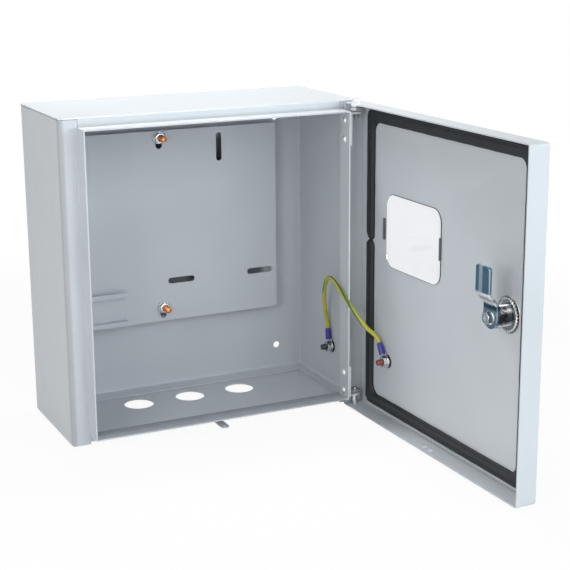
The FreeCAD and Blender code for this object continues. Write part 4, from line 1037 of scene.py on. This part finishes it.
piece_along("upper_hex_bolt", [
    (bolt_head, at_pin(UPPER_HEAD, UPWARDS)),
    (thread(BOLT_RADIUS, 15.5, depth=BOLT_DEPTH), at_pin(UPPER_HEAD, DOWNWARDS))],
    "door", "zinc", zinc, ["upper_hinge_bolt"], on_door, 40.0)
piece_along("lower_hex_bolt", [
    (bolt_head, at_pin(LOWER_HEAD, DOWNWARDS)),
    (bolt_shank, at_pin(LOWER_HEAD, UPWARDS)),
    (thread(BOLT_RADIUS, 6.2, depth=BOLT_DEPTH), at_pin(13.1, UPWARDS))],
    "door", "zinc", zinc, ["lower_hinge_bolt"], on_door, 40.0)
piece_along("hinge_hex_nuts", [(hinge_nut, at_pin(z, UPWARDS)) for z in (304.1, 300.4, 13.9)],
            "door", "zinc", zinc, ["hinge_nuts"], on_door)

# %% [markdown]
# The lock is a quarter-turn cam lock. Its housing goes through the door: a low round head
# outside on a rubber ring, and inside a threaded barrel with two flats, held by a ring nut with
# a serrated rim. The flats cut the round: r = min(thread, half width over the flats / |cos a|).

# %% Lock housing
LOCK = np.array([-103.0, 0.0, 156.2])
INWARDS = (0.0, 1.0, 0.0)
HEAD_OUT = -30.2


def lock_piece(name, body, slot, finish, replaced, shapes, sharp=35.0):
    """A piece of the lock from (shape, y) or (shape, y, direction of its x) on the lock's axis."""
    parts = [(shape, (LOCK + [0.0, y, 0.0], INWARDS, *across)) for shape, y, *across in shapes]
    piece_along(name, parts, body, slot, finish, [replaced], on_door, sharp)


def threaded_barrel(radius, bore, length, flat, pitch=1.25, depth=0.5, sides=72):
    """Thread cut by two flats, closed through its bore."""
    rows = int(length / pitch * 8)
    r, height = helix(radius, length, pitch, depth, rows, sides, (1.2, 0.1), 0.7)
    r = np.minimum(r, flat_at(flat, np.cos(turns(sides))))
    return lathe([*zip(r, height), (bore, length), (bore, 0.0)], sides, closed=True)


lock_head = lathe([(7.0, 1.1), (7.4, 0.35), (9.2, 0.02), (12.2, 0.25), (13.4, 0.9), (13.95, 2.0),
                   (14.0, 3.2), (13.8, 4.0), (7.0, 4.0)], 96, closed=True)
lock_piece("lock_case", "door", "chrome", chrome, "lock_housing", [
    (lock_head, HEAD_OUT), (threaded_barrel(10.0, 7.0, 22.2, 8.6), HEAD_OUT, SIDEWAYS)], 40.0)

# %% Ring nut and rubber ring
RING_SHADE_RADIUS = 0.0153


def serrated_nut(inner, outer, height, teeth=30, sides=240):
    """Round nut on a thin flange, its rim cut to r = rim - 1.1*sawtooth(a)."""
    angle = turns(sides)
    tooth = 1.1 * np.abs(2.0 * ((angle * teeth / math.tau) % 1.0) - 1.0)
    rim = outer - 1.3
    return lathe([
        (inner, 0.0), (outer - 0.1, 0.0), (outer, 0.2), (outer, 0.6), (outer - 0.2, 0.8),
        (rim - 1.3, 0.8), (rim - 1.2, 0.9), (rim - tooth, 1.0), (rim - tooth, height - 0.5),
        (rim - 0.9 - tooth, height), (inner + 2.4, height), (inner + 2.0, height * 0.86),
        (inner, height * 0.86)], sides, closed=True)


# painted shade: the ring nut's flange near the door skin, inside 15.3 mm of the axis, painted near
# black at the foot of its teeth
shade_middle = on_door(LOCK + [0.0, SKIN_IN + 1.1, 0.0])
near_skin = ring_chrome.ramp(ring_chrome.place("X"), shade_middle[0], shade_middle[0] + 0.0001)
ring_chrome.paint_over(ring_chrome.near(shade_middle, RING_SHADE_RADIUS, 0.0002) * near_skin,
                       (0.02, 0.02, 0.022))
lock_piece("serrated_ring_nut", "door", "chrome", ring_chrome, "lock_ring_nut",
           [(serrated_nut(10.05, 16.5, 3.0), SKIN_IN)], 30.0)
seal_ring = lathe([(10.1, 0.0), (13.0, 0.0), (13.4, 0.4), (13.2, 1.2), (10.1, 1.2)], 72,
                  closed=True)
lock_piece("lock_rubber_ring", "door", "seal_rubber", rubber, "lock_seal",
           [(seal_ring, SKIN_OUT - 1.2)])

# %% [markdown]
# The plug turns inside the housing and shows a key slot outside. The cam is a strip of plated
# steel with two bends that bring its tongue behind the cabinet's flange. It is drawn as a
# path with round bends in side view, times a half width that rounds off at both ends.

# %% Plug
PLUG_SEAT = -6.8
KEY_HALF = (0.9, 4.2)


def slotted_face(radius, y_front, depth, sides=96):
    """Plug front: a rounded disc that dips into a narrow key slot."""
    angle = turns(sides)
    slot = np.minimum(flat_at(KEY_HALF[0], np.cos(angle)), flat_at(KEY_HALF[1], np.sin(angle)))
    length = PLUG_SEAT - y_front
    return lathe([
        (slot, depth), (slot, 0.35), (slot + 0.35, 0.0), (radius - 0.8, 0.0), (radius - 0.2, 0.2),
        (radius, 0.8), (radius, length), (radius * 0.55, length)], sides)


plug_square = lathe([(3.9, 0.0), (3.9, 2.35), (3.6, 2.4)], 4)
lock_piece("key_plug", "latch", "chrome", chrome, "lock_plug", [
    (slotted_face(6.95, HEAD_OUT, 9.0), HEAD_OUT, SIDEWAYS),
    (plug_square, PLUG_SEAT, (1.0, 0.0, 1.0))], 30.0)

# %% Path of the cam
CAM_METAL, CAM_RISE = 2.5, 8.8
CAM_HALF, CAM_REACH = 10.0, 45.6
CAM_BENDS = (11.0, 22.0)
FOOT_ROUND, TIP_ROUND = 9.5, 3.0


def bent_path(corners, radius, per_bend=7):
    """Straight runs through the corners with a round of given radius at each inner corner."""
    corners = np.asarray(corners, float)
    points = [corners[0]]
    for before, corner, after in zip(corners, corners[1:], corners[2:]):
        into = (corner - before) / np.linalg.norm(corner - before)
        out = (after - corner) / np.linalg.norm(after - corner)
        half = math.acos(float(np.clip(into @ out, -1, 1))) / 2
        start = corner - into * radius * math.tan(half)
        end = corner + out * radius * math.tan(half)
        share = np.linspace(0, 1, per_bend)[:, None]
        points.extend(start * (1 - share) ** 2 + corner * 2 * share * (1 - share)
                      + end * share ** 2)
    points.append(corners[-1])
    return np.array(points)


middle = PLUG_SEAT + CAM_METAL / 2
side_view = bent_path([(middle, -CAM_HALF), (middle, CAM_BENDS[0]),
                       (middle + CAM_RISE, CAM_BENDS[1]), (middle + CAM_RISE, CAM_REACH)], 3.0)
run = distance_along(side_view)
fine = np.unique(np.concatenate([np.linspace(0, FOOT_ROUND, 18), run,
                                 run[-1] - np.linspace(0, TIP_ROUND, 8)]))
path = np.stack([np.interp(fine, run, side_view[:, k]) for k in range(2)], -1)

# %% Cam: its half width is an ellipse at the foot and has two round corners at the tip
from_foot = 1.0 - np.minimum(fine / FOOT_ROUND, 1.0)
foot_share = np.sqrt(np.clip(1.0 - from_foot ** 2, 0.0, 1.0))
into_tip = np.maximum(TIP_ROUND - (run[-1] - fine), 0.0)
tip_in = TIP_ROUND - np.sqrt(np.clip(TIP_ROUND ** 2 - into_tip ** 2, 0.0, None))
tip_share = 1.0 - tip_in / CAM_HALF
half_width = CAM_HALF * np.maximum(np.minimum(foot_share, tip_share), 0.05)
share = np.linspace(-1, 1, 9)
cam_grid = np.stack(np.broadcast_arrays(
    LOCK[0] + half_width[:, None] * share, path[:, :1], LOCK[2] + path[:, 1:]), -1)
cam_points, cam_faces = surface(cam_grid, close_columns=False, lids=False)
cam = make_object("cranked_cam", on_door(cam_points), cam_faces, 60.0)
plate = cam.modifiers.new("plate", "SOLIDIFY")
plate.thickness = CAM_METAL * MM
plate.offset = 0.0
plate.use_even_offset = True
bevel = cam.modifiers.new("edge", "BEVEL")
bevel.width = 0.35 * MM
bevel.segments = 3
bevel.limit_method = "ANGLE"
bevel.angle_limit = math.radians(40.0)
dress(cam, "latch", "zinc", cam_zinc, ["latch_cam"])

# %% Cam washer and bolt
CAM_TOP = PLUG_SEAT + CAM_METAL
CAM_WASHER = 1.2
cam_ring = lathe([(M6_HOLE, 0.0), (6.1, 0.0), (6.3, 0.25), (6.2, 0.8), (5.6, CAM_WASHER),
                  (M6_HOLE, CAM_WASHER)], closed=True)
lock_piece("cam_round_washer", "latch", "zinc", zinc, "cam_washer", [(cam_ring, CAM_TOP)])


def recessed_head(flats, height, recess=2.3, depth=2.2, sides=72):
    """Hexagon head whose face dips into a driver recess: r = recess*(0.62 + 0.38 cos 4a)."""
    outside, _ = hexagon(flats, height, both=False, sides=sides)
    angle = turns(sides)
    lobe = recess * (0.62 + 0.38 * np.cos(4 * angle))
    face = stacked_rings([(flats * 0.40, height), (lobe + 0.25, height), (lobe, height - 0.3),
                          (lobe * 0.45, height - depth)], sides)
    return surface(np.concatenate([outside.reshape(-1, sides, 3), face]))


lock_piece("cam_head_bolt", "latch", "zinc", zinc, "cam_bolt", [
    (recessed_head(M6_FLATS, 4.0), CAM_TOP + CAM_WASHER, (0.4, 0.0, 1.0)),
    (lathe([(2.9, 0.0), (2.9, 3.0)], 24), CAM_TOP - 1.8)], 30.0)

# %% [markdown]
# The floor and the world are white where the camera, a mirror or the pane looks at them; near
# the cabinet the floor is a little less than white. For everything else the floor is a matt
# light grey and the world a faint cool light. Eight large soft lamps light the cabinet.

# %% Floor
FLOOR_Z = -0.1585
FLOOR_HALF = 6.0
corners = [(-1, -1), (1, -1), (1, 1), (-1, 1)]
floor_mesh = bpy.data.meshes.new("floor")
floor_mesh.from_pydata([(FLOOR_HALF * x, FLOOR_HALF * y, FLOOR_Z) for x, y in corners], [],
                       [(0, 1, 2, 3)])
floor = add_object("floor", floor_mesh)
matt = Finish("white_floor", Specular_IOR_Level=0.0, Roughness=1.0)
matt.set("Base Color", (0.86, 0.86, 0.86, 1.0))
glow = matt.node("ShaderNodeEmission", {}, {"Strength": 1.0})
brightness = matt.near((0.0, -0.15, FLOOR_Z), 0.55, 0.35) * -0.06 + 1.0
matt.feed(matt.out.inputs[0], matt.node("ShaderNodeMixShader", {}, {
    0: matt.seen() * brightness, 1: Value(matt, matt.shader.outputs[0]), 2: glow}))
wear(floor, matt)

# %% World
world = bpy.data.worlds.new("studio")
bpy.context.scene.world = world
sky = Tree(world)
faint = sky.node("ShaderNodeBackground", {}, {"Color": (0.93, 0.96, 1.0, 1.0), "Strength": 0.04})
white = sky.node("ShaderNodeBackground", {}, {"Color": (1.0, 1.0, 1.0, 1.0), "Strength": 1.0})
chosen = sky.node("ShaderNodeMixShader", {}, {0: sky.seen(), 1: faint, 2: white})
sky.node("ShaderNodeOutputWorld", {}, {"Surface": chosen})

# %% Lamps


def lamp(name, place, aim, size, power, colour=(1.0, 1.0, 1.0)):
    """Rectangular soft lamp at a place, turned towards a point; power in watts."""
    data = bpy.data.lights.new(name, "AREA")
    data.shape = "RECTANGLE"
    data.size, data.size_y = size
    data.energy = power
    data.color = colour
    thing = add_object(name, data)
    thing.location = place
    way = Vector(aim) - Vector(place)
    thing.rotation_euler = way.to_track_quat("-Z", "Y").to_euler()


lamp("front", (0.35, -2.6, 0.9), (0.05, 0.0, 0.0), (1.4, 1.6), 22.5, (0.90, 0.92, 1.0))
lamp("right", (1.5, -1.7, 0.7), (0.1, -0.2, 0.0), (1.0, 1.0), 20.5, (0.90, 1.0, 1.0))
lamp("left side", (-2.2, 0.1, 0.3), (0.0, -0.1, 0.0), (1.2, 1.2), 9.2)
lamp("left high", (-1.2, -1.0, 1.3), (0.0, -0.1, 0.0), (0.8, 0.8), 4.2)
lamp("above front", (0.1, -1.3, 1.4), (0.05, -0.1, 0.0), (1.0, 1.0), 3.0)
lamp("close above", (0.0, 0.03, 0.75), (0.0, 0.0, 0.15), (0.5, 0.12), 4.2)
lamp("door", (-0.7, -0.75, 0.25), (0.15, -0.3, 0.0), (0.35, 0.35), 2.1)
lamp("low", (0.1, -1.7, 0.05), (0.05, -0.2, 0.0), (1.0, 0.35), 1.0)

# %% Colour handling and closing
bpy.context.scene.view_settings.view_transform = "Standard"
